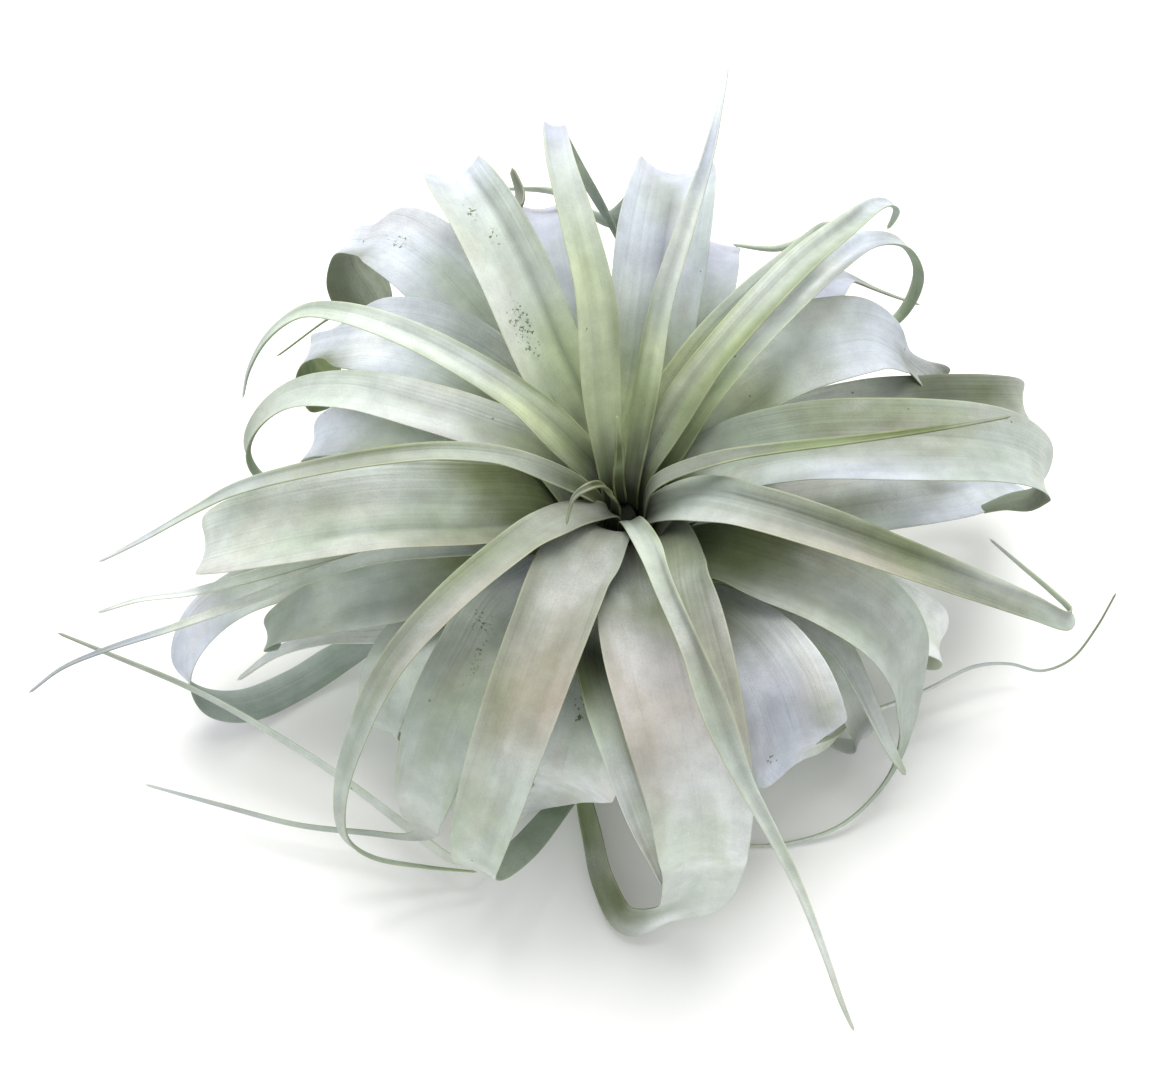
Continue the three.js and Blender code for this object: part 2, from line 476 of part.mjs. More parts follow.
// Below the surface that the plant rests on: what it trims becomes a small flat spot.
function groundSolid() {
  const box = new THREE.BoxGeometry(groundSize, groundSize, groundDepth);
  box.translate(0, 0, -groundDepth / 2);
  return solidFromGeometry(box);
}

const group = new THREE.Group();
group.add(meshOf(stemSolid(0), "stem", stemColour, stemRoughness));

// Each leaf stays clear of the ground and the stem and, deep in the rosette, of the leaves
// inside it: where they meet, it is trimmed.
const obstacles = [groundSolid(), stemSolid(clearance)];
for (const leaf of leaves) {
  let solid = bladeSolid(leaf, 0);
  for (const obstacle of obstacles) {
    const shared = solid.intersect(obstacle);
    if (!shared.isEmpty()) solid = largestBody(solid.subtract(obstacle));
  }
  obstacles.push(bladeSolid(leaf, clearance));
  group.add(meshOf(solid, leaf.name, colours[leaf.tier], leafRoughness));
}

export default group;
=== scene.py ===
import math
import bpy
import numpy as np
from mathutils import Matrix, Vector


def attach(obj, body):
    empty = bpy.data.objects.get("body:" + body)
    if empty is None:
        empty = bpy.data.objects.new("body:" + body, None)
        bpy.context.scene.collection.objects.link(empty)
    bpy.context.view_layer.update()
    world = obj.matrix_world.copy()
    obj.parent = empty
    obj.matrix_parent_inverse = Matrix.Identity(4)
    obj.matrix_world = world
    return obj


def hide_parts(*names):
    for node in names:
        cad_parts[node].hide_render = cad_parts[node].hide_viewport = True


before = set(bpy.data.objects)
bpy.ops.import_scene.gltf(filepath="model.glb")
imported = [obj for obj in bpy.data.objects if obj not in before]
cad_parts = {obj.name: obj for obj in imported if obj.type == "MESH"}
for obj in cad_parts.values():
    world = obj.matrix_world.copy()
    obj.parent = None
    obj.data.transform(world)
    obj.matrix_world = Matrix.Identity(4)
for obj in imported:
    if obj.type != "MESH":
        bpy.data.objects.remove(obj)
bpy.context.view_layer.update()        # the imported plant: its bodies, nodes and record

mm = 0.001

# A xerographica air plant: 43 channelled leaves round a short woody stem.
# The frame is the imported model's: metres, +Z up, the origin under the stem.


def inScene(name, data):
    thing = bpy.data.objects.new(name, data)
    bpy.context.scene.collection.objects.link(thing)
    return thing


# The camera comes first: it looks down on the rosette from the front.
view = {"target": (-14, 4.5, 60), "distance": 750, "elevation": 60, "lens": 62.2,
        "sensor": 36, "nearest": 0.01}


def makeCamera():
    tilt = math.radians(view["elevation"])
    target = Vector(view["target"]) * mm
    back = Vector((0, -math.cos(tilt), math.sin(tilt)))
    data = bpy.data.cameras.new("camera")
    data.lens, data.sensor_width = view["lens"], view["sensor"]
    data.clip_start = view["nearest"]
    camera = inScene("camera", data)
    camera.location = target + back * view["distance"] * mm
    camera.rotation_euler = (math.pi / 2 - tilt, 0, 0)
    bpy.context.scene.camera = camera
    print("camera set")


makeCamera()


# The stem's profile, radius and height, and the leaves' forms, in millimetres and degrees.
stemProfile = [(13, 0), (14, 8), (13, 30), (12, 52), (9, 70), (6, 82), (4.5, 88), (0, 91)]

blade = {
    "footGap": 1.1,           # a leaf starts this far outside the stem
    "thickness": 1.3,         # in the middle of a wide blade
    "marginThickness": 0.8,
    "widthPerThickness": 20,  # a narrow blade is thinner, by this much of its width
    "tightestCurl": 1.2,      # the channel's smallest radius, in thicknesses
    "edge": 0.3,              # how much of the margin's thickness is left at its very edge
    "edgePower": 12,          # how close to the edge it thins
    "across": 15,             # points across one face
    "step": 1.8,              # between two sections
    "fewest": 48,
    "most": 170,
    "spanSteps": 40,
    "noTurn": 1e-18,          # a bend smaller than this is straight
    "roundTip": 1.5,          # the point is rounded off over this length
    "tipWidth": 0.08,         # the share of its width that is left there
    "least": 0.3,             # thickness kept where a leaf lies on the ground
    "deepCrease": 2.5,        # a crease this deep gets the whole painted shade at its bottom
    "creaseFade": 0.08,       # a crease starts and ends over this share of the leaf
    "creaseShade": 0.45,      # how much painted shade darkens the bottom of a deep crease
    "patternStep": 7.3,       # how far the next leaf's clouds and streaks are moved on
}

# A leaf's sheath climbs out of the stem like a cup: height gained at each radius,
# and less of it on the low leaves, which leave the stem flatter.
sheath = {
    "cup": [(14, 9), (20, 20), (30, 29)],
    "lowLeaf": 20, "highLeaf": 60, "lowGain": 0.6,
    "margin": 5, "reach": 26, "blend": 20, "end": 0.5,
    "steepestFold": 150, "extraFold": 57, "flattestFold": 1, "widestFoot": 15,
}

# How far a blade is folded across, in degrees, at these shares of its length.
foldStations = (0, 0.25, 0.6, 1)
folds = {
    "quill": (120, 110, 110, 130),
    "narrow": (140, 110, 80, 130),
    "strap": (140, 90, 60, 110),
    "wide": (150, 70, 40, 85),
    "cupped": (150, 95, 100, 100),
    "broad": (150, 50, 22, 90),
}

# The leaf's colours, before powder, streaks and rims. The dark ones are also painted shade at the
# leaves' feet, in the heart and in patches where leaves overlap and fold, and the palest also
# painted highlights in some patches.
tones = {
    "shade": "#353b20", "deep": "#4d5535", "moss": "#646e4b", "olive": "#7a8565",
    "leaf": "#8e9a77", "fresh": "#a3b087", "lime": "#bac69e", "pale": "#ced9b8",
    "slate": "#7f857a", "grey": "#90958b", "sage": "#9ea69a", "steel": "#a8b1ab",
    "mist": "#b8c1b8", "dew": "#cad3ca", "tan": "#9c9784", "blush": "#a29d94", "rose": "#b9b4ad",
    "haze": "#a7abb8", "cloud": "#bcc3cb", "frost": "#cdd3df", "lilac": "#d9d8e6",
    "pearl": "#dce2de", "snow": "#eef2f1",
}

# The heart is darker: the leaves are greener there, and painted shade stands for how they shade
# each other. A quill leaf, rising out of the heart, takes only a share of that painted shade.
heart = {"centre": (0, 0, 86), "near": 10, "far": 38, "tone": "shade", "amount": 0.88,
         "quillShade": 0.35}

# Each leaf from the heart outwards.
# foot: its bearing in degrees and its height on the stem.
# tones: its colours from foot to tip, the dark ones at the foot partly painted shade. under: its
# lower face's, where that curls into view.
# midrib: right, back, up, the blade's width, and its roll in degrees where it is turned.
# creases: share across, from and to along, depth and half width in millimetres; each also paints
# shade along its bottom.
# patches: share along, share across, half length, half width, tone and amount. Some are the leaf's
# own blotches; the dark ones are mostly painted shade where leaves overlap and in folds, and some
# pale ones painted highlights.
# rubbed: where the powder is scratched off, as share along, share across, half sizes.
leaves = [
    {"node": "leaf_01_heart_spike", "fold": "quill", "slot": "leaf_heart", "foot": (108, 86),
     "tones": "shade shade shade deep moss leaf moss moss leaf fresh fresh",
     "midrib": [(-1, 3, 92, 5), (-2, 3, 106, 4.5), (-2, 4, 124, 3.5), (-3, 5, 144, 1)]},
    {"node": "leaf_02_heart_curl", "fold": "quill", "slot": "leaf_heart", "foot": (-135, 84),
     "tones": "shade shade shade shade shade leaf deep shade slate grey grey",
     "midrib": [(-3, -4, 98, 5), (-5, -8, 114, 4.5), (-9, -12, 127, 4), (-13, -15, 130, 3.4),
                (-17, -16, 126, 2.6), (-19, -18, 120, 1.8), (-20, -21, 116, 1)]},
    {"node": "leaf_03_back_arch", "fold": "narrow", "slot": "leaf_heart", "foot": (118, 82),
     "tones": "fresh leaf lime pale pale mist haze cloud snow cloud steel",
     "midrib": [(-5, 8, 100, 9), (-8, 21, 130, 14.5), (-11, 37, 166, 15.5), (-17, 54, 186, 13.5),
                (-22, 71, 194, 11), (-24, 92, 188, 8.5), (-23, 103, 172, 7), (-17, 110, 148, 6),
                (-9, 113, 124, 5), (-4, 112, 112, 3.5), (0, 112, 100, 1.2)],
     "creases": [(0.1, 0.05, 0.5, 1.2, 1.8)],
     "patches": [(0.25, 0, 0.08, 0.6, "pale", 0.6), (0.45, -0.8, 0.12, 0.4, "mist", 0.6),
                 (0.3, -0.9, 0.07, 0.5, "leaf", 0.7)]},
    {"node": "leaf_04_back_spear", "fold": "narrow", "slot": "leaf_heart", "foot": (66, 83),
     "tones": "lime moss olive fresh pale dew pearl pearl frost frost frost",
     "midrib": [(3, 7, 100, 7), (7, 23, 126, 9.5), (13, 44, 156, 8.8), (21, 61, 178, 7),
                (27, 75, 192, 4.6), (31, 90, 200, 2.6), (34, 104, 206, 1)],
     "creases": [(0.1, 0.1, 0.9, 1.2, 1.4)],
     "patches": [(0.38, 1, 0.16, 0.5, "moss", 0.8), (0.15, -0.7, 0.06, 0.5, "deep", 0.7),
                 (0.25, -1, 0.08, 0.4, "deep", 0.7)]},
    {"node": "leaf_05_right_whip", "fold": "quill", "slot": "leaf_heart", "foot": (0, 80),
     "tones": "shade deep slate slate slate olive olive moss moss slate slate",
     "midrib": [(11, 0, 109, 6.5), (26, 2, 119, 6.5), (50, 2, 127, 5.4), (77, 4, 130, 4),
                (105, 11, 126, 2.6), (136, 22, 118, 1)]},
    {"node": "leaf_06_left_whip", "fold": "narrow", "slot": "leaf_heart", "foot": (182, 78),
     "tones": "moss moss slate sage sage grey sage steel mist frost lilac",
     "midrib": [(-9, 0, 97, 7), (-21, 0, 112, 9.5), (-39, 0, 124, 9), (-60, -1, 130, 8.5),
                (-83, -3, 130, 8), (-111, -5, 124, 7), (-135, -5, 112, 6), (-151, -6, 100, 4),
                (-171, -10, 87, 2.6), (-189, -13, 76, 1)],
     "patches": [(0.45, -0.8, 0.14, 0.5, "moss", 0.7), (0.12, 0.4, 0.08, 1, "shade", 0.8)]},
    {"node": "leaf_07_upper_left_arch", "fold": "narrow", "slot": "leaf_inner", "foot": (135, 76.5),
     "tones": "shade olive fresh pale dew dew dew mist dew mist cloud",
     "midrib": [(-9, 10, 98, 11), (-19, 16, 110, 14), (-36, 24, 125, 13.5), (-57, 33, 136, 12),
                (-78, 44, 138, 10.5), (-100, 57, 131, 8.5), (-116, 65, 120, 6.5),
                (-130, 64, 106, 4.6), (-138, 58, 94, 3), (-141, 51, 86, 1)],
     "creases": [(-0.1, 0.05, 0.6, 1.2, 1.8)],
     "patches": [(0.13, 0, 0.07, 1.2, "deep", 0.7), (0.34, -1, 0.15, 0.3, "olive", 0.8),
                 (0.4, -0.4, 0.14, 0.3, "snow", 0.5), (0.42, 1, 0.15, 0.4, "sage", 0.7)]},
    {"node": "leaf_08_upper_right_hook", "fold": "narrow", "slot": "leaf_heart", "foot": (52, 78),
     "tones": "fresh olive leaf fresh lime mist mist mist cloud cloud snow",
     "midrib": [(6, 9, 100, 10), (14, 17, 117, 13), (26, 27, 136, 13), (43, 41, 152, 12.5),
                (60, 58, 158, 11.5), (78, 79, 152, 9.5), (91, 98, 140, 7), (98, 107, 130, 5),
                (102, 112, 120, 3.6), (102, 114, 112, 2.4), (101, 115, 106, 1)],
     "creases": [(0.1, 0.05, 0.8, 1.5, 1.6)],
     "patches": [(0.45, -1, 0.3, 0.8, "olive", 0.8), (0.47, 0.4, 0.2, 0.5, "snow", 0.5)]},
    {"node": "leaf_09_front_spear", "fold": "strap", "slot": "leaf_inner", "foot": (-74, 76.5),
     "tones": "grey mist mist sage grey sage dew pearl pearl pearl dew",
     "midrib": [(2, -8, 96, 8), (7, -26, 114, 9), (13, -53, 128, 7.6, 20), (21, -78, 133, 7.8, 25),
                (28, -98, 128, 10.4), (37, -114, 113, 6.4), (47.2, -126, 96, 4.4),
                (56.6, -137, 78, 3.3), (66, -152, 58, 2.5), (72.8, -164, 42, 1.9),
                (78.2, -171, 30, 0.9)],
     "creases": [(0.15, 0.05, 0.8, 1.0, 1.5)],
     "patches": [(0.16, 0.9, 0.04, 0.4, "olive", 0.8), (0.74, 0.6, 0.08, 0.5, "pale", 0.5)]},
    {"node": "leaf_10_front_left_loop", "fold": "strap", "slot": "leaf_inner", "foot": (-139, 77),
     "tones": "sage slate grey grey grey grey steel mist mist mist lime",
     "midrib": [(-5, -5, 97, 9), (-11, -8, 103, 12), (-22, -15, 110, 14.5), (-41, -33, 115, 14.5),
                (-60, -50, 112, 13.5), (-78, -65, 98, 12), (-91, -82, 78, 10), (-98, -96, 58, 7.5),
                (-98, -104, 40, 5.5), (-90, -106, 26, 4.4), (-72, -106, 16, 3), (-53, -106, 10, 1)],
     "patches": [(0.33, -0.8, 0.1, 0.5, "olive", 0.8), (0.35, 0.7, 0.12, 0.5, "rose", 0.6),
                 (0.55, 0, 0.08, 0.6, "olive", 0.4)]},
    {"node": "leaf_11_right_strap", "fold": "strap", "slot": "leaf_inner", "foot": (-10, 73.5),
     "tones": "shade dew steel grey slate olive slate grey steel pearl lilac",
     "midrib": [(10, -2, 92, 13), (25, -6, 108, 18), (46, -17, 118, 18), (70, -25, 117, 17),
                (94, -29, 107, 15), (120, -32, 94, 12.5), (144, -34, 80, 10), (158, -34, 70, 7.5),
                (162, -27, 64, 5.5), (156, -19, 64, 4.4), (144, -9, 68, 3), (134, -1, 72, 1)],
     "creases": [(0.3, 0.05, 0.75, 1.2, 1.6), (-0.25, 0.12, 0.6, 0.7, 1.2)],
     "patches": [(0.42, -0.8, 0.14, 0.5, "rose", 0.7), (0.45, 0.7, 0.15, 0.5, "olive", 0.7),
                 (0.66, 0.7, 0.07, 0.5, "snow", 0.7)]},
    {"node": "leaf_12_upper_right_back", "fold": "strap", "slot": "leaf_inner", "foot": (72, 75),
     "tones": "shade fresh fresh lime mist mist steel steel snow snow snow",
     "midrib": [(7, 16, 98, 11), (14, 29, 112, 14), (28, 45, 126, 14), (45, 61, 134, 13),
                (62, 80, 132, 11), (74, 100, 122, 8), (80, 115, 106, 5.5), (74, 120, 95, 4.5),
                (61, 119, 89, 3), (44, 125, 84, 1.2)],
     "creases": [(0.1, 0.05, 0.6, 1.4, 1.6)]},
    {"node": "leaf_13_upper_right_arch", "fold": "strap", "slot": "leaf_inner", "foot": (44, 71.5),
     "tones": "shade moss leaf pale pearl pearl frost cloud dew mist pearl",
     "midrib": [(12, 15, 90, 12), (24, 30, 104, 15), (40, 47, 116, 15), (58, 66, 122, 14.5),
                (75, 84, 122, 12.5), (91, 99, 118, 11), (105, 105, 109, 9), (112, 104, 97, 8),
                (113, 103, 84, 7), (109, 100, 72, 5.5), (100, 96, 64, 3)],
     "creases": [(0.15, 0.05, 0.7, 1.6, 1.8)],
     "patches": [(0.46, 0.1, 0.12, 0.5, "snow", 0.8), (0.56, -0.9, 0.1, 0.4, "slate", 0.7)]},
    {"node": "leaf_14_back_left_strap", "fold": "cupped", "slot": "leaf_inner", "foot": (117, 69),
     "tones": "pale pale pale pale dew mist cloud cloud slate slate grey",
     "midrib": [(-15, 28, 103, 25), (-28, 41, 131, 28), (-39, 58, 152, 29), (-49, 76, 160, 28),
                (-57, 92, 158, 26), (-60, 107, 146, 22), (-56, 119, 125, 16), (-48, 126, 108, 10),
                (-40, 130, 98, 8), (-38, 138, 98, 6.5), (-42, 147, 104, 3)],
     "creases": [(-0.45, 0.1, 0.66, 1.7, 1.0), (0.2, 0.2, 0.6, 0.7, 2.5)],
     "patches": [(0.25, -0.9, 0.09, 0.4, "pale", 0.8), (0.34, 0.8, 0.12, 0.6, "snow", 0.5),
                 (0.54, -0.3, 0.06, 0.9, "steel", 0.6), (0.17, 0, 0.04, 0.8, "moss", 0.5),
                 (0.48, -0.9, 0.06, 0.4, "mist", 0.5)],
     "rubbed": [(0.35, 0.3, 0.06, 0.35), (0.49, 0, 0.02, 0.2), (0.54, 0.2, 0.02, 0.2)]},
    {"node": "leaf_15_left_loop", "fold": "strap", "slot": "leaf_inner", "foot": (150, 65),
     "tones": "shade leaf lime pearl snow pearl dew mist mist mist mist",
     "midrib": [(-28, 19, 98, 20), (-51, 24, 108, 21), (-72, 30, 111, 20), (-98, 39, 108, 17),
                (-120, 43, 99, 13.5), (-133, 40, 88, 10.5), (-139, 36, 74, 9), (-136, 33, 62, 7.5),
                (-126, 30, 54, 3)],
     "creases": [(-0.2, 0.1, 0.6, 1.0, 2.0)],
     "patches": [(0.36, -0.7, 0.15, 0.6, "snow", 0.7), (0.25, 0, 0.07, 0.5, "lime", 0.6),
                 (0.4, 1, 0.07, 0.3, "blush", 0.5), (0.16, 0.5, 0.05, 0.6, "deep", 0.5)]},
    {"node": "leaf_16_front_left_strap", "fold": "wide", "slot": "leaf_middle", "foot": (-117, 69),
     "tones": "shade grey grey grey blush mist dew dew snow snow snow", "under": "steel",
     "midrib": [(-9, -15, 102.5, 24), (-17, -33, 106.5, 29), (-26.5, -62, 109.5, 28),
                (-35.5, -86, 102, 26.5), (-44, -105, 84, 24), (-50, -116, 62, 20),
                (-51, -117, 44, 16), (-46, -112, 31, 14), (-36, -100, 22, 13), (-23, -81, 15, 10),
                (-8, -63, 11, 3)],
     "creases": [(0.35, 0.2, 0.7, 0.9, 1.4)],
     "patches": [(0.35, -0.9, 0.08, 0.6, "slate", 0.6), (0.07, 0, 0.04, 1.5, "shade", 0.9),
                 (0.28, 0.1, 0.06, 0.5, "blush", 0.4), (0.43, -0.7, 0.05, 0.7, "olive", 0.5),
                 (0.4, 0, 0.06, 0.8, "tan", 0.6)]},
    {"node": "leaf_17_front_broad", "fold": "wide", "slot": "leaf_middle", "foot": (-70, 63),
     "tones": "shade slate slate blush rose pearl pearl dew moss olive leaf", "under": "olive",
     "midrib": [(8.5, -16, 93.5, 32), (10, -35, 98.5, 41), (14, -65, 107, 45), (19, -90, 106, 42),
                (24, -108, 90, 37), (26, -118, 68, 32), (27, -118, 46, 29), (24, -122, 28, 25),
                (14, -123, 15, 11, 10), (2, -123, 9, 14, 40), (-6, -109, 9, 12, 50),
                (-10, -91, 9, 11, 50), (-13, -78, 10, 9, 50), (-16, -64, 11, 3, 50)],
     "creases": [(0.1, 0.15, 0.6, 0.9, 2.4)],
     "patches": [(0.27, -0.8, 0.08, 0.5, "slate", 0.5), (0.3, 0.9, 0.09, 0.4, "slate", 0.7),
                 (0.22, 0, 0.05, 0.5, "olive", 0.7), (0.17, 0.4, 0.04, 0.5, "mist", 0.5),
                 (0.45, 0, 0.06, 0.6, "snow", 0.7), (0.14, 0.7, 0.04, 0.6, "moss", 0.6),
                 (0.3, -0.2, 0.05, 0.6, "haze", 0.4), (0.35, -0.8, 0.08, 0.6, "blush", 0.9),
                 (0.55, 0, 0.05, 0.8, "snow", 0.6), (0.74, 0.8, 0.05, 0.6, "snow", 0.9)]},
    {"node": "leaf_18_right_broad", "fold": "wide", "slot": "leaf_middle", "foot": (14, 67),
     "tones": "olive lime mist steel grey grey sage steel mist pearl snow", "under": "grey",
     "midrib": [(34, 12, 99, 31), (62, 14, 110, 34), (97, 13, 114, 35), (127, 17, 106, 34),
                (145, 20, 94, 31, 5), (154, 20.5, 81, 24, 14), (152, 19, 70, 14, 20),
                (144, 21, 63, 9, 20), (134, 19, 59, 4, 20)],
     "creases": [(0.3, 0.15, 0.8, 1.3, 1.8)],
     "patches": [(0.4, 0.8, 0.18, 0.5, "olive", 0.7), (0.44, -0.9, 0.2, 0.5, "frost", 0.8),
                 (0.15, 0.7, 0.06, 0.6, "moss", 0.6), (0.16, -0.4, 0.05, 0.7, "sage", 0.5)]},
    {"node": "leaf_19_back_broad", "fold": "cupped", "slot": "leaf_middle", "foot": (84, 61.5),
     "tones": "shade fresh lime dew frost cloud haze haze cloud snow snow",
     "midrib": [(8, 46, 100, 30), (12, 65, 130, 36), (15, 83, 147, 37), (18, 99, 149, 33),
                (19, 114, 138, 29), (15, 125, 118, 24), (6, 125, 105, 15), (-4, 123, 99, 11),
                (-15, 134, 94, 8), (-26, 144, 92, 6), (-45, 148, 90, 2)],
     "creases": [(0, 0.1, 0.55, 2.8, 3.0)],
     "patches": [(0.35, 0.7, 0.06, 0.5, "snow", 0.4), (0.27, 1, 0.09, 0.4, "pale", 0.6)]},
    {"node": "leaf_20_left_broad", "fold": "wide", "slot": "leaf_middle", "foot": (180, 60.5),
     "tones": "shade deep moss olive sage mist mist dew pearl pearl pearl",
     "midrib": [(-31, -1, 93, 28), (-57, -9, 107, 33), (-84, -13, 113, 34), (-112, -16, 110, 33),
                (-134, -16, 100, 29), (-148, -11, 84, 23), (-150, -6, 71, 15), (-141, -3, 66, 9),
                (-128, 1, 68, 3)],
     "creases": [(0.4, 0.1, 0.62, 1.6, 1.8)],
     "patches": [(0.25, -0.4, 0.06, 0.8, "moss", 0.6), (0.35, 0, 0.05, 0.5, "dew", 0.5),
                 (0.5, 1, 0.12, 0.3, "blush", 0.6), (0.55, -0.1, 0.05, 0.6, "leaf", 0.3),
                 (0.64, -0.6, 0.07, 0.6, "dew", 0.6), (0.49, -0.3, 0.06, 0.7, "dew", 0.6),
                 (0.34, 1, 0.07, 0.3, "blush", 0.6), (0.75, 1, 0.1, 0.4, "rose", 0.7)]},
    {"node": "leaf_21_long_left_whip", "fold": "narrow", "slot": "leaf_middle", "foot": (-166, 56),
     "tones": "shade steel steel pearl pearl dew pearl dew haze haze haze",
     "midrib": [(-51, -16, 92, 9), (-79, -20, 94, 7.5), (-96, -23, 92, 6), (-114, -28, 88, 5),
                (-140, -33, 78, 4), (-162, -36, 68, 3.2), (-186, -39, 58, 2.4),
                (-205, -42, 48, 1.6), (-218, -48, 40, 1)]},
    {"node": "leaf_22_upper_right_broad", "fold": "wide", "slot": "leaf_middle", "foot": (52, 56),
     "tones": "shade sage sage mist pale mist cloud cloud cloud grey grey", "under": "leaf",
     "midrib": [(40, 49, 94, 34), (60, 57, 105, 35), (80, 63, 107, 33), (92, 68, 101, 30),
                (103, 69, 91, 22), (108, 69, 83, 12), (114, 68, 77, 13, 10), (121, 67, 70, 19, 20),
                (119, 70, 60, 17, 25), (115, 69, 57, 6, 25)],
     "patches": [(0.42, -0.8, 0.07, 0.5, "olive", 0.6), (0.49, 0.8, 0.12, 0.8, "snow", 1),
                 (0.55, -0.7, 0.05, 0.6, "grey", 0.7), (0.24, 0, 0.05, 0.8, "moss", 0.7),
                 (0.81, -0.4, 0.05, 0.9, "slate", 0.9)]},
    {"node": "leaf_23_left_tip", "fold": "narrow", "slot": "leaf_middle", "foot": (172, 53),
     "tones": "deep slate slate slate slate slate sage dew snow snow dew",
     "midrib": [(-66, -4, 86, 8), (-105, -13, 82, 7), (-134, -19, 75, 5), (-155, -21, 68, 3.4),
                (-177, -20, 60, 2.2), (-193, -22, 54, 1)]},
    {"node": "leaf_24_lower_right_sickle", "fold": "wide", "slot": "leaf_middle", "foot": (-22, 54),
     "tones": "shade leaf moss grey steel mist mist steel dew pearl pearl",
     "midrib": [(48, -20, 86, 33), (72, -31, 87, 34), (90, -40, 79, 32), (100, -46, 63, 30),
                (103, -51, 46, 24), (104, -59, 31, 13), (99, -71, 16, 5.5), (83, -85, 6, 4),
                (64, -91, 2, 3.4), (47, -92, 1, 2.5), (29, -90, 3, 1)],
     "patches": [(0.14, 0.5, 0.05, 0.9, "deep", 0.6), (0.23, 0.7, 0.06, 0.8, "deep", 0.7),
                 (0.32, -0.9, 0.1, 0.5, "pearl", 0.8), (0.45, 0.8, 0.06, 0.5, "dew", 0.6)]},
    {"node": "leaf_25_upper_left_fold", "fold": "wide", "slot": "leaf_outer", "foot": (134, 50),
     "tones": "deep sage sage sage steel cloud cloud cloud snow snow snow", "under": "leaf",
     "midrib": [(-45, 47, 99, 31), (-67, 58, 107, 34), (-89, 67, 102, 33), (-101, 72, 93, 25),
                (-110, 77, 84, 14), (-119, 81, 74, 15), (-120, 83, 61, 24), (-113, 80, 51, 28),
                (-113, 79, 43, 16), (-128, 82, 38, 4), (-143, 81, 34, 1)],
     "creases": [(0.1, 0.15, 0.6, 1.5, 3.0)],
     "patches": [(0.63, 1, 0.07, 0.6, "moss", 0.9), (0.55, 0.1, 0.05, 0.6, "snow", 0.7),
                 (0.32, 0.5, 0.05, 0.5, "moss", 0.6)]},
    {"node": "leaf_26_upper_left_broad", "fold": "wide", "slot": "leaf_outer", "foot": (118, 46.5),
     "tones": "deep steel steel steel steel cloud cloud frost snow snow snow", "under": "grey",
     "midrib": [(-34, 60, 86, 28), (-53, 80, 97, 34), (-72, 101, 102, 35), (-89, 115, 100, 30),
                (-98, 120, 92, 17), (-107, 128, 80, 16), (-107, 128, 65, 27), (-101, 124, 54, 31),
                (-98, 119, 47, 20), (-111, 121, 46, 5), (-139, 104, 38, 1)],
     "patches": [(0.44, -0.1, 0.06, 0.6, "mist", 0.6), (0.33, 0, 0.04, 0.5, "moss", 0.6),
                 (0.6, 1, 0.06, 0.5, "slate", 0.9), (0.41, -1, 0.05, 0.4, "snow", 0.6)],
     "rubbed": [(0.55, 0, 0.03, 0.25), (0.62, 0, 0.02, 0.25)]},
    {"node": "leaf_27_back_outer_left", "fold": "wide", "slot": "leaf_outer", "foot": (96, 40.5),
     "tones": "deep sage sage sage sage haze haze haze haze haze haze",
     "midrib": [(-15, 66, 81, 26), (-22, 90, 95, 29), (-27, 114, 97, 28), (-29, 140, 84, 23),
                (-30, 156, 66, 16), (-28, 160, 50, 9), (-24, 150, 42, 3)]},
    {"node": "leaf_28_left_outer", "fold": "wide", "slot": "leaf_outer", "foot": (152, 43.5),
     "tones": "deep dew dew dew dew dew pearl frost frost lilac lilac",
     "midrib": [(-53, 37, 78, 28), (-82, 40, 81, 28), (-106, 45, 72, 24), (-117, 49, 59, 19),
                (-117, 52, 45, 13), (-100, 54, 38, 4)]},
    {"node": "leaf_29_right_outer", "fold": "wide", "slot": "leaf_outer", "foot": (34, 45),
     "tones": "shade shade shade snow snow pearl slate slate grey dew dew", "under": "dew",
     "midrib": [(59, 40, 75, 28), (91, 48, 80, 28), (118, 55, 76, 25), (144, 62, 66, 24, 4),
                (157, 69, 54, 20, 16), (154, 74, 40, 12, 30), (140, 74, 31, 4, 30)],
     "patches": [(0.45, 0.9, 0.07, 0.7, "snow", 1), (0.64, 0.3, 0.07, 0.9, "shade", 0.7),
                 (0.74, 0.4, 0.05, 0.6, "deep", 0.7)]},
    {"node": "leaf_30_back_outer_right", "fold": "broad", "slot": "leaf_outer", "foot": (76, 37),
     "tones": "deep steel steel steel steel haze haze haze haze haze haze",
     "midrib": [(18, 67, 78, 28), (27, 89, 90, 29), (34, 112, 87, 24), (38, 130, 77, 19),
                (41, 141, 60, 16), (40, 145, 38, 12), (35, 139, 16, 8), (28, 125, 2, 5),
                (18, 104, 6, 2)]},
    {"node": "leaf_31_lower_left_outer", "fold": "wide", "slot": "leaf_outer", "foot": (-140, 51),
     "tones": "shade cloud steel sage steel dew mist steel mist cloud frost",
     "midrib": [(-40, -35, 84, 29), (-51, -59, 89, 30), (-61, -78, 82, 28), (-68, -93, 64, 23),
                (-71, -98, 46, 16), (-71, -98, 30, 9), (-78, -96, 20, 5), (-92, -93, 16, 4),
                (-119, -89, 14, 3.6), (-149, -81, 14, 3), (-177, -74, 16, 1)],
     "patches": [(0.14, -0.8, 0.05, 0.5, "cloud", 0.6), (0.26, 0.1, 0.05, 0.6, "slate", 0.6),
                 (0.34, 0.5, 0.05, 0.6, "olive", 0.5)],
     "rubbed": [(0.25, -0.3, 0.02, 0.5), (0.3, 0, 0.04, 0.15)]},
    {"node": "leaf_32_right_under", "fold": "wide", "slot": "leaf_outer", "foot": (6, 40),
     "tones": "shade snow snow pearl mist cloud frost frost frost frost frost",
     "midrib": [(58, 10, 68, 30), (92, 16, 69, 31), (124, 26, 61, 28), (145, 40, 46, 22),
                (152, 51, 30, 15), (141, 54, 18, 9), (121, 52, 14, 4)],
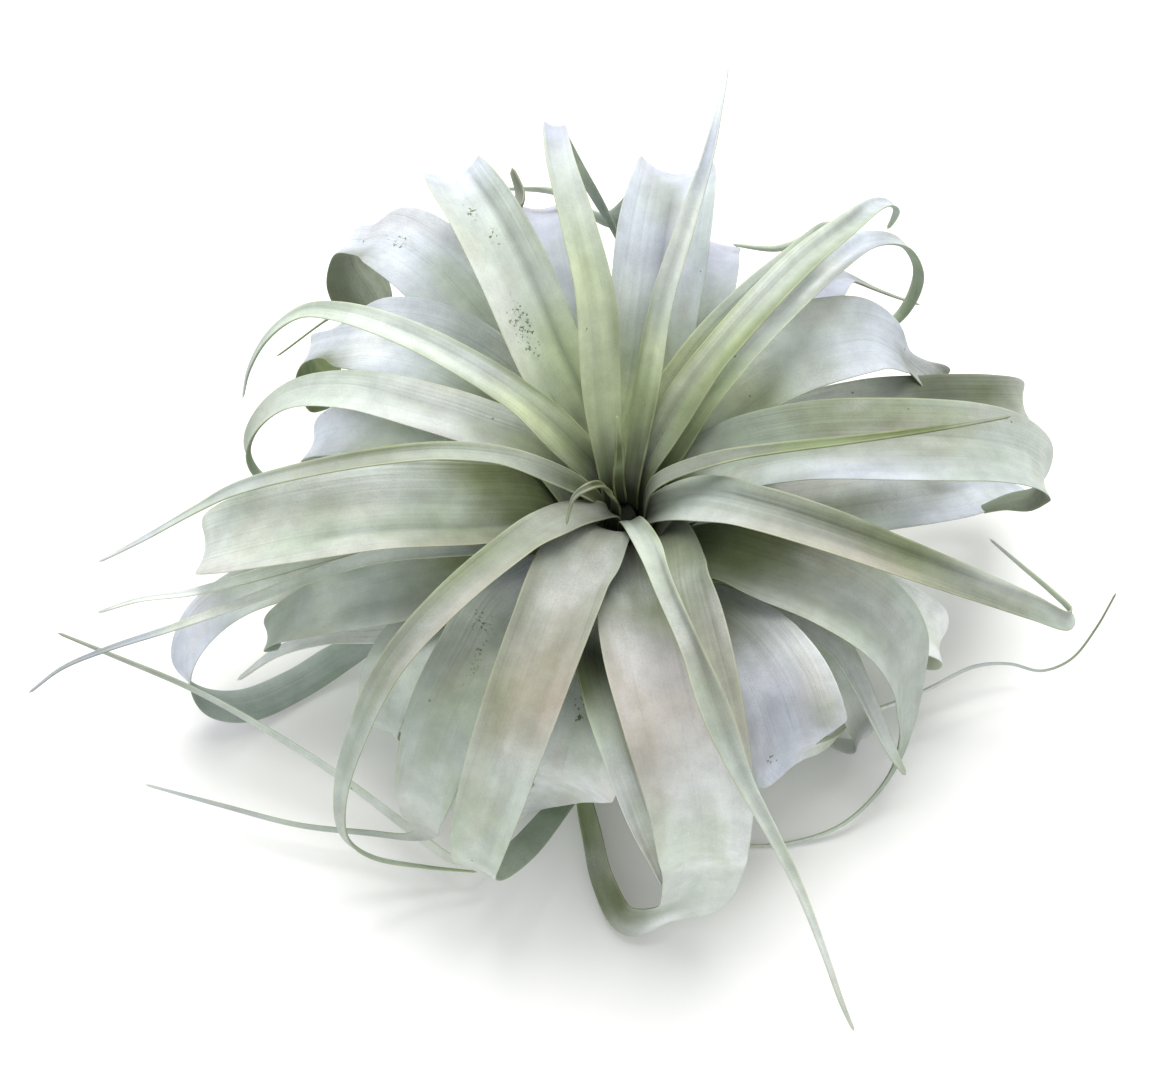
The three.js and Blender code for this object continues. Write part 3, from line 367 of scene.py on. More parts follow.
     "patches": [(0.35, -0.1, 0.06, 0.5, "moss", 0.8), (0.45, 0, 0.08, 0.6, "deep", 0.7),
                 (0.56, 0.2, 0.07, 0.6, "slate", 0.9), (0.68, -0.6, 0.05, 0.5, "steel", 0.7),
                 (0.36, 1, 0.12, 0.6, "snow", 1)]},
    {"node": "leaf_33_upper_right_under", "fold": "wide", "slot": "leaf_outer", "foot": (56, 33),
     "tones": "deep haze haze haze haze haze haze haze haze grey grey",
     "midrib": [(37, 66, 72, 24), (59, 84, 86, 27), (74, 104, 81, 24), (84, 120, 70, 18),
                (93, 128, 58, 9), (103, 127, 53, 4), (112, 126, 49, 2.5), (123, 124, 46, 1)]},
    {"node": "leaf_34_front_outer", "fold": "broad", "slot": "leaf_outer", "foot": (-99, 46),
     "tones": "shade pearl pearl snow snow snow pearl dew mist steel grey",
     "midrib": [(-13, -64, 84, 36), (-17, -84, 82, 40), (-20, -91, 69, 39), (-20, -87, 50, 32),
                (-24, -83, 32, 18), (-37, -84, 20, 10), (-50, -94, 13, 5.5), (-60, -102, 12, 4.2),
                (-75, -93, 14, 4), (-90, -83, 19, 3.6), (-104, -74, 24, 3.2), (-126, -62, 32, 3),
                (-155, -47, 38, 2.6), (-191, -30, 36, 2), (-212, -21, 36, 1)],
     "patches": [(0.24, -0.2, 0.05, 0.8, "sage", 0.5)],
     "rubbed": [(0.22, 0, 0.02, 0.15)]},
    {"node": "leaf_35_left_under", "fold": "wide", "slot": "leaf_outer", "foot": (-167, 47.5),
     "tones": "deep leaf leaf leaf leaf sage steel mist steel steel cloud",
     "midrib": [(-51, -18, 77, 26), (-79, -27, 81, 28), (-105, -31, 75, 23), (-122, -30, 61, 17),
                (-130, -29, 48, 12), (-127, -27, 38, 4)]},
    {"node": "leaf_36_lower_right_broad", "fold": "cupped", "slot": "leaf_outer", "foot": (-54, 42),
     "tones": "shade grey slate haze frost snow snow lilac cloud grey slate",
     "midrib": [(38, -46, 79, 37), (50, -65, 80, 44), (55, -74, 70, 46), (58, -76, 60, 42),
                (62, -75, 50, 16), (67, -69, 38, 10), (77, -59, 24, 9), (88, -47, 18, 5),
                (102, -41, 16, 4), (116, -35, 16, 3), (135, -26, 18, 2.6), (149, -24, 16, 1.4),
                (162, -25, 12, 1.4), (174, -20, 12, 1.7), (184, -9, 16, 1.5), (192, 3, 24, 0.9)],
     "patches": [(0.17, -0.2, 0.04, 0.6, "deep", 0.9), (0.31, -0.9, 0.06, 0.5, "slate", 0.5),
                 (0.13, 0.8, 0.05, 0.6, "mist", 0.7), (0.3, 0.9, 0.09, 0.5, "snow", 0.9)],
     "rubbed": [(0.37, -0.43, 0.02, 0.15)]},
    {"node": "leaf_37_left_low_loop", "fold": "wide", "slot": "leaf_outer", "foot": (178, 40),
     "tones": "deep grey grey grey grey mist frost frost lilac snow snow", "under": "cloud",
     "midrib": [(-56, 1, 62, 26), (-89, -6, 63, 26), (-118, -8, 58, 23), (-142, -15, 53, 21),
                (-157, -24, 44, 20), (-163, -35, 32, 17, 10), (-157, -39, 17, 16, 30),
                (-144, -37, 8, 15, 45), (-126, -27, 5, 14, 50), (-108, -16, 8, 13, 50),
                (-93, -13, 14, 5, 50)],
     "patches": [(0.44, 0, 0.05, 0.8, "slate", 0.7)]},
    {"node": "leaf_38_front_strip", "fold": "strap", "slot": "leaf_middle", "foot": (-96, 55),
     "tones": "shade snow snow pearl slate dew snow snow snow snow snow",
     "midrib": [(-11, -52, 91, 14), (-8, -77, 96, 14), (-2, -95, 87, 12), (5, -108, 67, 10),
                (11, -114, 46, 7), (17, -119, 27, 4), (24, -119, 15, 1.5)],
     "patches": [(0.37, 0, 0.09, 1.5, "shade", 0.9), (0.56, 1, 0.12, 0.6, "moss", 0.8),
                 (0.42, -0.9, 0.06, 0.8, "deep", 0.9)]},
    {"node": "leaf_39_lower_left_under", "fold": "wide", "slot": "leaf_outer", "foot": (-150, 36.5),
     "tones": "deep pearl pearl pearl pearl pearl dew mist dew dew dew",
     "midrib": [(-54, -22, 60, 26), (-71, -39, 66, 27), (-81, -51, 62, 25), (-86, -59, 50, 20),
                (-86, -60, 36, 14), (-80, -58, 25, 8), (-66, -49, 18, 3)]},
    {"node": "leaf_40_lower_right_tip", "fold": "strap", "slot": "leaf_middle", "foot": (-28, 36),
     "tones": "deep pale pale pale snow snow snow snow snow dew mist",
     "midrib": [(56, -30, 70, 13), (76, -40, 64, 11), (85, -50, 53, 9), (92, -60, 42, 7),
                (99, -68, 30, 5), (105, -72, 20, 1.6)]},
    {"node": "leaf_41_right_low", "fold": "wide", "slot": "leaf_outer", "foot": (-8, 32.5),
     "tones": "deep snow snow snow snow snow snow snow snow snow snow",
     "midrib": [(62, -7, 60, 24), (89, -19, 60, 25), (107, -24, 51, 24), (118, -24, 38, 21),
                (118, -24, 25, 14), (105, -22, 19, 4)]},
    {"node": "leaf_42_left_low_tip", "fold": "strap", "slot": "leaf_middle", "foot": (-163, 31.5),
     "tones": "deep snow snow snow snow snow snow snow snow snow snow",
     "midrib": [(-64, -21, 50, 10), (-86, -26, 46, 9), (-109, -24, 38, 7), (-129, -25, 28, 5),
                (-146, -32, 18, 1.6)]},
    {"node": "leaf_43_lower_right_under", "fold": "wide", "slot": "leaf_outer", "foot": (-24, 28.5),
     "tones": "deep snow snow snow snow snow snow pearl grey lilac snow",
     "midrib": [(49, -21, 53, 21), (69, -35, 50, 19), (81, -46, 39, 15), (87, -50, 26, 15),
                (91, -52, 13, 15), (88, -52, 4, 10), (76, -48, 1.5, 4)]},
]


def ease(x, low, high):
    t = np.clip((x - low) / (high - low), 0, 1)
    return t * t * (3 - 2 * t)


def bump(x):
    return np.exp(-x * x)


def linear(hexColour):   # from a screen colour to amounts of light
    part = np.array([int(hexColour[i:i + 2], 16) / 255 for i in (1, 3, 5)])
    return np.where(part <= 0.04045, part / 12.92, ((part + 0.055) / 1.055) ** 2.4)


def colourOf(hexColour):
    return (*linear(hexColour), 1)


def stemRadius(height):
    return np.interp(height, [up for _, up in stemProfile], [r for r, _ in stemProfile])


def controlPoints(leaf):
    bearing, rise = math.radians(leaf["foot"][0]), leaf["foot"][1]
    own = [tuple(point) + (0,) * (5 - len(point)) for point in leaf["midrib"]]
    firstRadius = math.hypot(own[0][0], own[0][1])
    footWidth = min(own[0][3], sheath["widestFoot"])
    footRadius = stemRadius(rise) + blade["footGap"]

    def at(radius, height):
        grown = (radius - footRadius) / max(firstRadius - footRadius, 1)
        width = footWidth + (own[0][3] - footWidth) * grown
        return (radius * math.cos(bearing), radius * math.sin(bearing), height, width, 0)

    climb = (rise - sheath["lowLeaf"]) / (sheath["highLeaf"] - sheath["lowLeaf"])
    gain = min(sheath["lowGain"] + (1 - sheath["lowGain"]) * climb, 1)
    cup = [at(radius, rise + up * gain) for radius, up in sheath["cup"]
           if radius < firstRadius - sheath["margin"]]
    return np.array([at(footRadius, rise), *cup, *own], float)


# A smooth line through the points, cut into even steps.
def threadThrough(points):
    chords = np.linalg.norm(np.diff(points[:, :3], axis=0), axis=1)
    knots = np.concatenate([[0], np.cumsum(np.sqrt(chords))])
    spans = np.diff(knots)[:, None]
    slopes = np.diff(points, axis=0) / spans
    tangents = np.empty_like(points)
    tangents[0], tangents[-1] = slopes[0], slopes[-1]
    before, after = spans[:-1], spans[1:]
    tangents[1:-1] = (after * slopes[:-1] + before * slopes[1:]) / (before + after)
    s = np.arange(blade["spanSteps"])[:, None] / blade["spanSteps"]
    dense = [(2 * s**3 - 3 * s**2 + 1) * points[i]
             + (s**3 - 2 * s**2 + s) * spans[i] * tangents[i]
             + (3 * s**2 - 2 * s**3) * points[i + 1]
             + (s**3 - s**2) * spans[i] * tangents[i + 1]
             for i in range(len(spans))]
    dense = np.vstack([*dense, points[-1:]])
    steps = np.linalg.norm(np.diff(dense[:, :3], axis=0), axis=1)
    lengths = np.concatenate([[0], np.cumsum(steps)])
    count = int(np.clip(lengths[-1] / blade["step"], blade["fewest"], blade["most"])) + 1
    wanted = np.linspace(0, lengths[-1], count)
    line = np.stack([np.interp(wanted, lengths, dense[:, k]) for k in range(5)], 1)
    return line, lengths[-1]


def unit(v):
    return v / np.linalg.norm(v)


# Ahead, to the side and up at each step, carried along the line without a twist.
def framesAlong(line, bearing):
    places = line[:, :3]
    around = np.vstack([places[:1], places, places[-1:]])
    ahead = around[2:] - around[:-2]
    ahead /= np.linalg.norm(ahead, axis=1)[:, None]
    angle = math.radians(bearing)
    start = np.array([-math.sin(angle), math.cos(angle), 0])
    sides = [unit(start - ahead[0] * start.dot(ahead[0]))]
    for i in range(len(places) - 1):
        chord = places[i + 1] - places[i]
        side = sides[i] - chord * 2 * sides[i].dot(chord) / chord.dot(chord)
        carried = ahead[i] - chord * 2 * ahead[i].dot(chord) / chord.dot(chord)
        turned = ahead[i + 1] - carried
        if turned.dot(turned) > blade["noTurn"]:
            side = side - turned * 2 * side.dot(turned) / turned.dot(turned)
        sides.append(unit(side - ahead[i + 1] * side.dot(ahead[i + 1])))
    sides = np.array(sides)
    ups = np.cross(ahead, sides)
    roll = np.radians(line[:, 4])[:, None]
    turnedSides = sides * np.cos(roll) + ups * np.sin(roll)
    return ahead, turnedSides, np.cross(ahead, turnedSides)


# Near the stem a blade wraps it, and further out it has its own fold.
def foldAlong(leaf, line, ahead, along):
    own = np.interp(along, foldStations, np.radians(folds[leaf["fold"]]))
    radius = np.hypot(line[:, 0], line[:, 1])
    wrapped = line[:, 3] * np.abs(ahead[:, 2]) / np.maximum(radius, 1)
    wrapped = np.minimum(wrapped, math.radians(sheath["steepestFold"]))
    sheathed = np.minimum(wrapped, own + math.radians(sheath["extraFold"]))
    outside = ease(radius, sheath["reach"], sheath["reach"] + sheath["blend"])
    outside[along > sheath["end"]] = 1
    return sheathed + (own - sheathed) * outside


# A crease sinks the blade, and paints shade along its bottom as deep as the crease is.
def creaseDepths(leaf, along, across, width):
    sunk = np.zeros_like(along * across)
    shaded = np.zeros_like(sunk)
    fadeOver = blade["creaseFade"]
    for at, start, end, depth, half in leaf.get("creases", []):
        fade = ease(along, start, start + fadeOver) * (1 - ease(along, end - fadeOver, end))
        groove = bump((across - at * width / 2) / half) * fade
        sunk -= depth * groove
        shaded = np.maximum(shaded, groove * min(depth / blade["deepCrease"], 1))
    return sunk, shaded


def bladePoints(leaf):
    line, length = threadThrough(controlPoints(leaf))
    along = np.linspace(0, 1, len(line))
    ahead, sides, ups = framesAlong(line, leaf["foot"][0])
    width, margin = line[:, 3], blade["marginThickness"]
    middle = np.minimum(blade["thickness"], margin + width / blade["widthPerThickness"])
    tightest = width / (blade["tightestCurl"] * middle)
    fold = np.minimum(foldAlong(leaf, line, ahead, along), tightest)
    fold = np.maximum(fold, math.radians(sheath["flattestFold"]))
    toTip = np.clip((1 - along) * length / blade["roundTip"], 0, 1)
    narrowed = np.sqrt(1 - (1 - toTip) ** 2) * (1 - blade["tipWidth"]) + blade["tipWidth"]
    width, middle = width * narrowed, middle * narrowed

    share = np.sin(np.linspace(-math.pi / 2, math.pi / 2, blade["across"]))[None, :]
    along, width, middle = along[:, None], width[:, None], middle[:, None]
    angle = share * fold[:, None] / 2
    radius = width / fold[:, None]
    thickness = middle + (margin * narrowed[:, None] - middle) * share ** 2
    edge = np.sqrt(1 - np.abs(share) ** blade["edgePower"])
    thickness = thickness * np.maximum(edge, blade["edge"])
    across = share * width / 2
    sunk, shaded = creaseDepths(leaf, along, across, width)
    points = []
    for face in (1, -1):
        lift = face * thickness / 2 + sunk
        x = ((radius - lift) * np.sin(angle))[..., None]
        y = (radius - (radius - lift) * np.cos(angle))[..., None]
        points.append(line[:, None, :3] + sides[:, None] * x + ups[:, None] * y)
    lower = np.minimum(points[0][..., 2], points[1][..., 2])
    for face in points:      # a low leaf lies flat on the ground
        raised = np.maximum(face[..., 2], blade["least"])
        face[..., 2] = np.where(face[..., 2] > lower, raised, np.maximum(lower, 0))
    facts = {"share": share + 0 * along, "along": along + 0 * share, "across": across,
             "distance": along * length + 0 * share, "margin": width / 2 - np.abs(across),
             "shaded": shaded}
    return points, facts


# The skin: upper face, lower face, the two margins and the two ends.
def skinFaces(rings, across):
    ring, k = np.meshgrid(np.arange(rings - 1), np.arange(across - 1), indexing="ij")
    lower = rings * across
    a = (ring * across + k).ravel()
    upperFaces = np.stack([a, a + across, a + across + 1, a + 1], 1)
    lowerFaces = lower + upperFaces[:, ::-1]
    r = np.arange(rings - 1) * across
    left = np.stack([r, lower + r, lower + r + across, r + across], 1)
    right = left[:, ::-1] + across - 1
    j = np.arange(across - 1)
    near = np.stack([j, j + 1, lower + j + 1, lower + j], 1)
    far = near[:, ::-1] + (rings - 1) * across
    return np.vstack([upperFaces, lowerFaces, left, right, near, far])


def toneAlong(leaf, along):
    stops = np.array([linear(tones[name]) for name in leaf["tones"].split()])
    places = np.linspace(0, 1, len(stops))
    return np.stack([np.interp(along, places, stops[:, k]) for k in range(3)], -1)


def spotOn(flat, at, side, halfLength, halfWidth):
    return bump((flat["along"] - at) / halfLength) * bump((flat["share"] - side) / halfWidth)


# The upper face has the patches, with their painted shade and highlights, and the creases' painted
# shade; the heart's painted shade darkens both faces.
def paintLeaf(leaf, points, flat, under):
    colour = toneAlong(leaf, flat["along"])
    upper = 1 - under

    def blend(tone, amount):
        return (linear(tones[tone]) - colour) * np.reshape(amount, (-1, 1))

    for *spot, tone, amount in leaf.get("patches", []):
        colour += blend(tone, spotOn(flat, *spot) * amount * upper)
    if "under" in leaf:
        colour += blend(leaf["under"], under)
    colour *= 1 - blade["creaseShade"] * (flat["shaded"] * upper)[:, None]
    # painted shade of the heart, strongest near its centre
    away = np.linalg.norm(points - heart["centre"], axis=1)
    quillShade = heart["quillShade"] if leaf["fold"] == "quill" else 1
    dark = quillShade * heart["amount"] * (1 - ease(away, heart["near"], heart["far"]))
    colour += blend(heart["tone"], dark)
    return np.column_stack([colour, np.ones(len(under))])


def smoothMesh(name, points, faces, material):
    mesh = bpy.data.meshes.new(name)
    mesh.from_pydata(points, [], faces)
    mesh.polygons.foreach_set("use_smooth", [True] * len(faces))
    mesh.materials.append(material)
    return mesh


def addLeaf(leaf, material, seed):
    (upper, lower), facts = bladePoints(leaf)
    rings, across = upper.shape[:2]
    points = np.vstack([upper.reshape(-1, 3), lower.reshape(-1, 3)])
    mesh = smoothMesh(leaf["node"], points * mm, skinFaces(rings, across).tolist(), material)
    flat = {name: np.tile(value.ravel(), 2) for name, value in facts.items()}
    under = np.repeat([0.0, 1.0], rings * across)
    scratched = np.zeros(len(under))
    for spot in leaf.get("rubbed", []):
        scratched = np.maximum(scratched, spotOn(flat, *spot) * (1 - under))
    pattern = np.full(len(under), seed * blade["patternStep"])
    bladeWay = np.column_stack([flat["across"], flat["distance"], pattern])
    for name, kind, field, values in (
            ("toneAndPaintedLight", "FLOAT_COLOR", "color", paintLeaf(leaf, points, flat, under)),
            ("blade", "FLOAT_VECTOR", "vector", bladeWay), ("under", "FLOAT", "value", under),
            ("edge", "FLOAT", "value", flat["margin"]), ("rubbed", "FLOAT", "value", scratched)):
        mesh.attributes.new(name, kind, "POINT").data.foreach_set(field, values.ravel())
    piece = inScene("visual_" + leaf["node"], mesh)
    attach(piece, "root")
    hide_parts(leaf["node"])
    return piece


# Materials: small helpers, shared effects as groups, then one material a slot.
def newNode(tree, kind, **settings):
    node = tree.nodes.new(kind)
    for name, value in settings.items():
        setattr(node, name, value)
    return node


def plug(tree, socket, value):
    if isinstance(value, bpy.types.NodeSocket):
        tree.links.new(value, socket)
    elif hasattr(socket.default_value, "__len__") and not hasattr(value, "__len__"):
        socket.default_value = (value,) * len(socket.default_value)
    else:
        socket.default_value = value


def plugAll(tree, node, values, output=0):
    for socket, value in zip(node.inputs, values):
        plug(tree, socket, value)
    return node.outputs[output]


def maths(tree, operation, *values):
    return plugAll(tree, newNode(tree, "ShaderNodeMath", operation=operation), values)


def times(tree, first, second):
    return maths(tree, "MULTIPLY", first, second)


def vectorMaths(tree, operation, *values):
    return plugAll(tree, newNode(tree, "ShaderNodeVectorMath", operation=operation), values)


def scaled(tree, colour, amount):
    node = newNode(tree, "ShaderNodeVectorMath", operation="SCALE")
    plug(tree, node.inputs["Vector"], colour)
    plug(tree, node.inputs["Scale"], amount)
    return node.outputs["Vector"]


def mixed(tree, factor, first, second, blend="MIX"):
    node = newNode(tree, "ShaderNodeMix", data_type="RGBA", blend_type=blend)
    plug(tree, node.inputs["Factor"], factor)
    plug(tree, node.inputs[6], first)      # the node's colour inputs are its seventh and eighth
    plug(tree, node.inputs[7], second)
    return node.outputs[2]


def ramped(tree, value, low, high, toLow=0.0, toHigh=1.0):
    node = newNode(tree, "ShaderNodeMapRange", interpolation_type="SMOOTHSTEP")
    return plugAll(tree, node, (value, low, high, toLow, toHigh))


def noise(tree, vector, scale, detail=2.0, roughness=0.5):
    node = newNode(tree, "ShaderNodeTexNoise")
    for name, value in (("Vector", vector), ("Scale", scale), ("Detail", detail),
                        ("Roughness", roughness)):
        plug(tree, node.inputs[name], value)
    return node.outputs["Fac"]


def attribute(tree, name, output):
    return newNode(tree, "ShaderNodeAttribute", attribute_name=name).outputs[output]


def onObject(tree):
    return newNode(tree, "ShaderNodeTexCoord").outputs["Object"]


def newGroup(name, inputs, outputs):
    tree = bpy.data.node_groups.new(name, "ShaderNodeTree")
    for label, kind, *usual in inputs:
        socket = tree.interface.new_socket(label, in_out="INPUT", socket_type="NodeSocket" + kind)
        if usual:
            socket.default_value = usual[0]
    for label, kind in outputs:
        tree.interface.new_socket(label, in_out="OUTPUT", socket_type="NodeSocket" + kind)
    given = newNode(tree, "NodeGroupInput").outputs
    return tree, given, newNode(tree, "NodeGroupOutput").inputs


def useGroup(tree, group, **values):
    node = newNode(tree, "ShaderNodeGroup", node_tree=group)
    for name, value in values.items():
        plug(tree, node.inputs[name], value)
    return node.outputs


def newMaterial(name):
    material = bpy.data.materials.new(name)
    material.use_nodes = True
    tree = material.node_tree
    return material, tree, tree.nodes["Principled BSDF"]


def addRelief(tree, surface, height):
    relief = newNode(tree, "ShaderNodeBump")
    relief.inputs["Distance"].default_value = 1.0
    plug(tree, relief.inputs["Height"], height)
    plug(tree, surface.inputs["Normal"], relief.outputs["Normal"])


# In these effects a height is in metres, a noise is its scale, detail and roughness, and a
# range is from, to and, where given, what the two become.
# Streaks run the length of a blade. across and along: how many a millimetre.
streaks = {
    "Fine": {"across": 1.1, "along": 0.012, "range": (0.3, 0.7), "height": 0.00006},
    "Broad": {"across": 0.22, "along": 0.006, "range": (0.36, 0.64), "height": 0.00025},
}


def makeStreaks():
    inputs = [(name, "Float", streaks[name]["across"]) for name in streaks]
    tree, given, made = newGroup("streaks", [("Blade", "Vector"), *inputs],
                                 [("Fine", "Float"), ("Broad", "Float"), ("Height", "Float")])
    heights = []
    for name, line in streaks.items():
        size = plugAll(tree, newNode(tree, "ShaderNodeCombineXYZ"),
                       (given[name], line["along"], 1.0))
        lines = noise(tree, vectorMaths(tree, "MULTIPLY", given["Blade"], size), 1.0)
        mask = ramped(tree, lines, *line["range"])
        plug(tree, made[name], mask)
        heights.append(times(tree, mask, line["height"]))
    plug(tree, made["Height"], maths(tree, "ADD", *heights))
    return tree


# Soft clouds where the skin is barer and greener, warmer or more powdered, and its grain.
powder = {
    "clouds": (0.05, 0.022, 1.0),  # how many a millimetre across and along, and leaf by leaf
    "warmApart": (9.0, 4.0, 0.5),  # the warm clouds lie this far from the bare ones
    "bare": (0.5, 0.36), "warm": (0.52, 0.66), "dusted": (0.52, 0.68),
    "grain": 1500.0, "grainDust": (0.2, 0.6, 0.3, 0.5), "grainShade": (0.3, 0.7, -0.03, 0.03),
    "grainHeight": 0.00004,
    "mottle": (110.0, 4.0, 0.6), "mottleShade": (0.3, 0.7, 0.9, 1.07), "mottleHeight": 0.00015,
}


def makePowder():
    tree, given, made = newGroup("powder", [("Colour", "Color"), ("Blade", "Vector"),
                                            ("Powder", "Color"), ("Bare", "Color"),
                                            ("Warm", "Color"), ("Amount", "Float"),
                                            ("Grain", "Float", powder["grain"])],
                                 [("Colour", "Color"), ("Height", "Float")])
    where, amount = onObject(tree), given["Amount"]
    softly = vectorMaths(tree, "MULTIPLY", given["Blade"], powder["clouds"])
    broad = noise(tree, softly, 1.0)
    other = noise(tree, vectorMaths(tree, "ADD", softly, powder["warmApart"]), 1.0)
    colour = given["Colour"]
    for clouds, kind in ((broad, "bare"), (other, "warm")):
        mask = times(tree, ramped(tree, clouds, *powder[kind]), amount)
        colour = mixed(tree, mask, colour, given[kind.capitalize()], "MULTIPLY")
    grain = noise(tree, where, given["Grain"], 1.0)
    mottled = noise(tree, where, *powder["mottle"])
    dusted = times(tree, ramped(tree, broad, *powder["dusted"]), amount)
    dusted = times(tree, dusted, ramped(tree, grain, *powder["grainDust"]))
    colour = mixed(tree, dusted, colour, given["Powder"])
    shade = maths(tree, "ADD", ramped(tree, mottled, *powder["mottleShade"]),
                  ramped(tree, grain, *powder["grainShade"]))
    plug(tree, made["Colour"], scaled(tree, colour, shade))
    plug(tree, made["Height"], maths(tree, "ADD", times(tree, grain, powder["grainHeight"]),
                                     times(tree, mottled, powder["mottleHeight"])))
    return tree


# The margins, and the small marks: dots, and scratches down to the green.
marks = {
    "rimWidth": 0.8, "rim": (0.35, 1.0, 1.0, 0.0),
    "unevenScale": 70.0, "uneven": (0.3, 0.65, 0.25, 1.0),
    "dotScale": 150.0, "dotShare": 0.1, "dot": (0.05, 0.09, 0.6, 0.0),
    "tear": (620.0, 3.0, 0.7), "tearMore": 0.15, "torn": (0.68, 0.72),
    "worn": (0.25, 0.6), "scratchAmount": 0.85,
}


def makeMarks():
    tree, given, made = newGroup("marks", [("Colour", "Color"), ("Rim", "Color"),
                                           ("Mark", "Color"), ("Rim amount", "Float"),
                                           ("Rim width", "Float", marks["rimWidth"])],
                                 [("Colour", "Color")])
    where = onObject(tree)
    inwards = maths(tree, "DIVIDE", attribute(tree, "edge", "Fac"), given["Rim width"])
    edge = ramped(tree, inwards, *marks["rim"])
    uneven = ramped(tree, noise(tree, where, marks["unevenScale"]), *marks["uneven"])
    rims = times(tree, times(tree, edge, uneven), given["Rim amount"])
    cells = newNode(tree, "ShaderNodeTexVoronoi")
    plug(tree, cells.inputs["Vector"], where)
    plug(tree, cells.inputs["Scale"], marks["dotScale"])
    drawn = plugAll(tree, newNode(tree, "ShaderNodeSeparateColor"), [cells.outputs["Color"]])
    few = maths(tree, "LESS_THAN", drawn, marks["dotShare"])
    dots = times(tree, few, ramped(tree, cells.outputs["Distance"], *marks["dot"]))
    rubs = attribute(tree, "rubbed", "Fac")
    tears = noise(tree, where, *marks["tear"])
    tears = maths(tree, "ADD", tears, times(tree, rubs, marks["tearMore"]))
    scratches = times(tree, ramped(tree, tears, *marks["torn"]),
                      ramped(tree, rubs, *marks["worn"]))
    shown = maths(tree, "MAXIMUM", dots, times(tree, scratches, marks["scratchAmount"]))
    colour = mixed(tree, rims, given["Colour"], given["Rim"])
    plug(tree, made["Colour"], mixed(tree, shown, colour, given["Mark"]))
    return tree


skinGroups = {"streaks": makeStreaks(), "powder": makePowder(), "marks": makeMarks()}

# What differs between the tiers of leaves, and what they share.
leafLooks = {
    "leaf_heart": {"clouds": 0.15, "streak": 0.10, "rim": 0.35, "sheen": 0.02},
    "leaf_inner": {"clouds": 0.25, "streak": 0.08, "rim": 0.3, "sheen": 0.04},
    "leaf_middle": {"clouds": 0.32, "streak": 0.06, "rim": 0.22, "sheen": 0.06},
    "leaf_outer": {"clouds": 0.32, "streak": 0.05, "rim": 0.18, "sheen": 0.08},
}
skin = {"powder": "#e8e8f0", "bare": "#cfdcb8", "warm": "#e6dacb", "line": "#b8c4a0",
        "under": "#dbe2d2", "rim": "#bcc294", "mark": "#4f6030", "fineShare": 0.35,
        "roughness": (0.62, 0.75), "specular": 0.12, "sheenRoughness": 0.6}


def makeLeafMaterial(name):
    look = leafLooks[name]
    material, tree, surface = newMaterial(name)
    bladeWay = attribute(tree, "blade", "Vector")
    lines = useGroup(tree, skinGroups["streaks"], Blade=bladeWay)
    # the leaf's colours, carrying its painted shade and painted highlights
    colour = attribute(tree, "toneAndPaintedLight", "Color")
    colour = mixed(tree, times(tree, lines["Broad"], look["streak"]), colour,
                   colourOf(skin["line"]), "MULTIPLY")
    colour = mixed(tree, times(tree, lines["Fine"], look["streak"] * skin["fineShare"]), colour,
                   colourOf(skin["powder"]))
    dusted = useGroup(tree, skinGroups["powder"], Colour=colour, Blade=bladeWay,
                      Amount=look["clouds"], Powder=colourOf(skin["powder"]),
                      Bare=colourOf(skin["bare"]), Warm=colourOf(skin["warm"]))
    colour = mixed(tree, attribute(tree, "under", "Fac"), dusted["Colour"],
                   colourOf(skin["under"]), "MULTIPLY")
    marked = useGroup(tree, skinGroups["marks"], Colour=colour, Rim=colourOf(skin["rim"]),
                      Mark=colourOf(skin["mark"]), **{"Rim amount": look["rim"]})
    plug(tree, surface.inputs["Base Color"], marked["Colour"])
    matt = ramped(tree, lines["Fine"], 0.0, 1.0, *skin["roughness"])
    plug(tree, surface.inputs["Roughness"], matt)
    surface.inputs["Specular IOR Level"].default_value = skin["specular"]
    surface.inputs["Sheen Weight"].default_value = look["sheen"]
    surface.inputs["Sheen Roughness"].default_value = skin["sheenRoughness"]
    addRelief(tree, surface, maths(tree, "ADD", lines["Height"], dusted["Height"]))
    return material


leafMaterials = {name: makeLeafMaterial(name) for name in leafLooks}
print("materials made")
for number, leaf in enumerate(leaves, 1):
    addLeaf(leaf, leafMaterials[leaf["slot"]], number)
print("leaves made:", len(leaves))


# The stem: a woody column with the scars of old leaves. Its sizes are in millimetres.
stem = {
    "sides": 96, "step": 0.8, "inside": 0.1, "least": 0.6, "domed": 0.2, "smoothFoot": 2,
    "scarRow": 5.5, "scarDepth": 0.9, "scarsRound": 7, "scarBow": 0.35, "scarCurve": 0.7,
}
# The stem's top, among the leaf bases, is painted a near-black green: the sheaths' own green,
# darkened as painted shade of the heart.
bark = {
    "light": "#9a8360", "dark": "#4a3826", "sheath": "#1a1e10", "lightRange": (0.38, 0.62),
    "fibreStretch": (1.0, 1.0, 0.15), "fibres": (900.0, 4.0, 0.6), "fibreHeight": 0.0004,
    "blotches": (130.0, 4.0, 0.6), "sheathed": (0.045, 0.06), "roughness": 0.92,
}


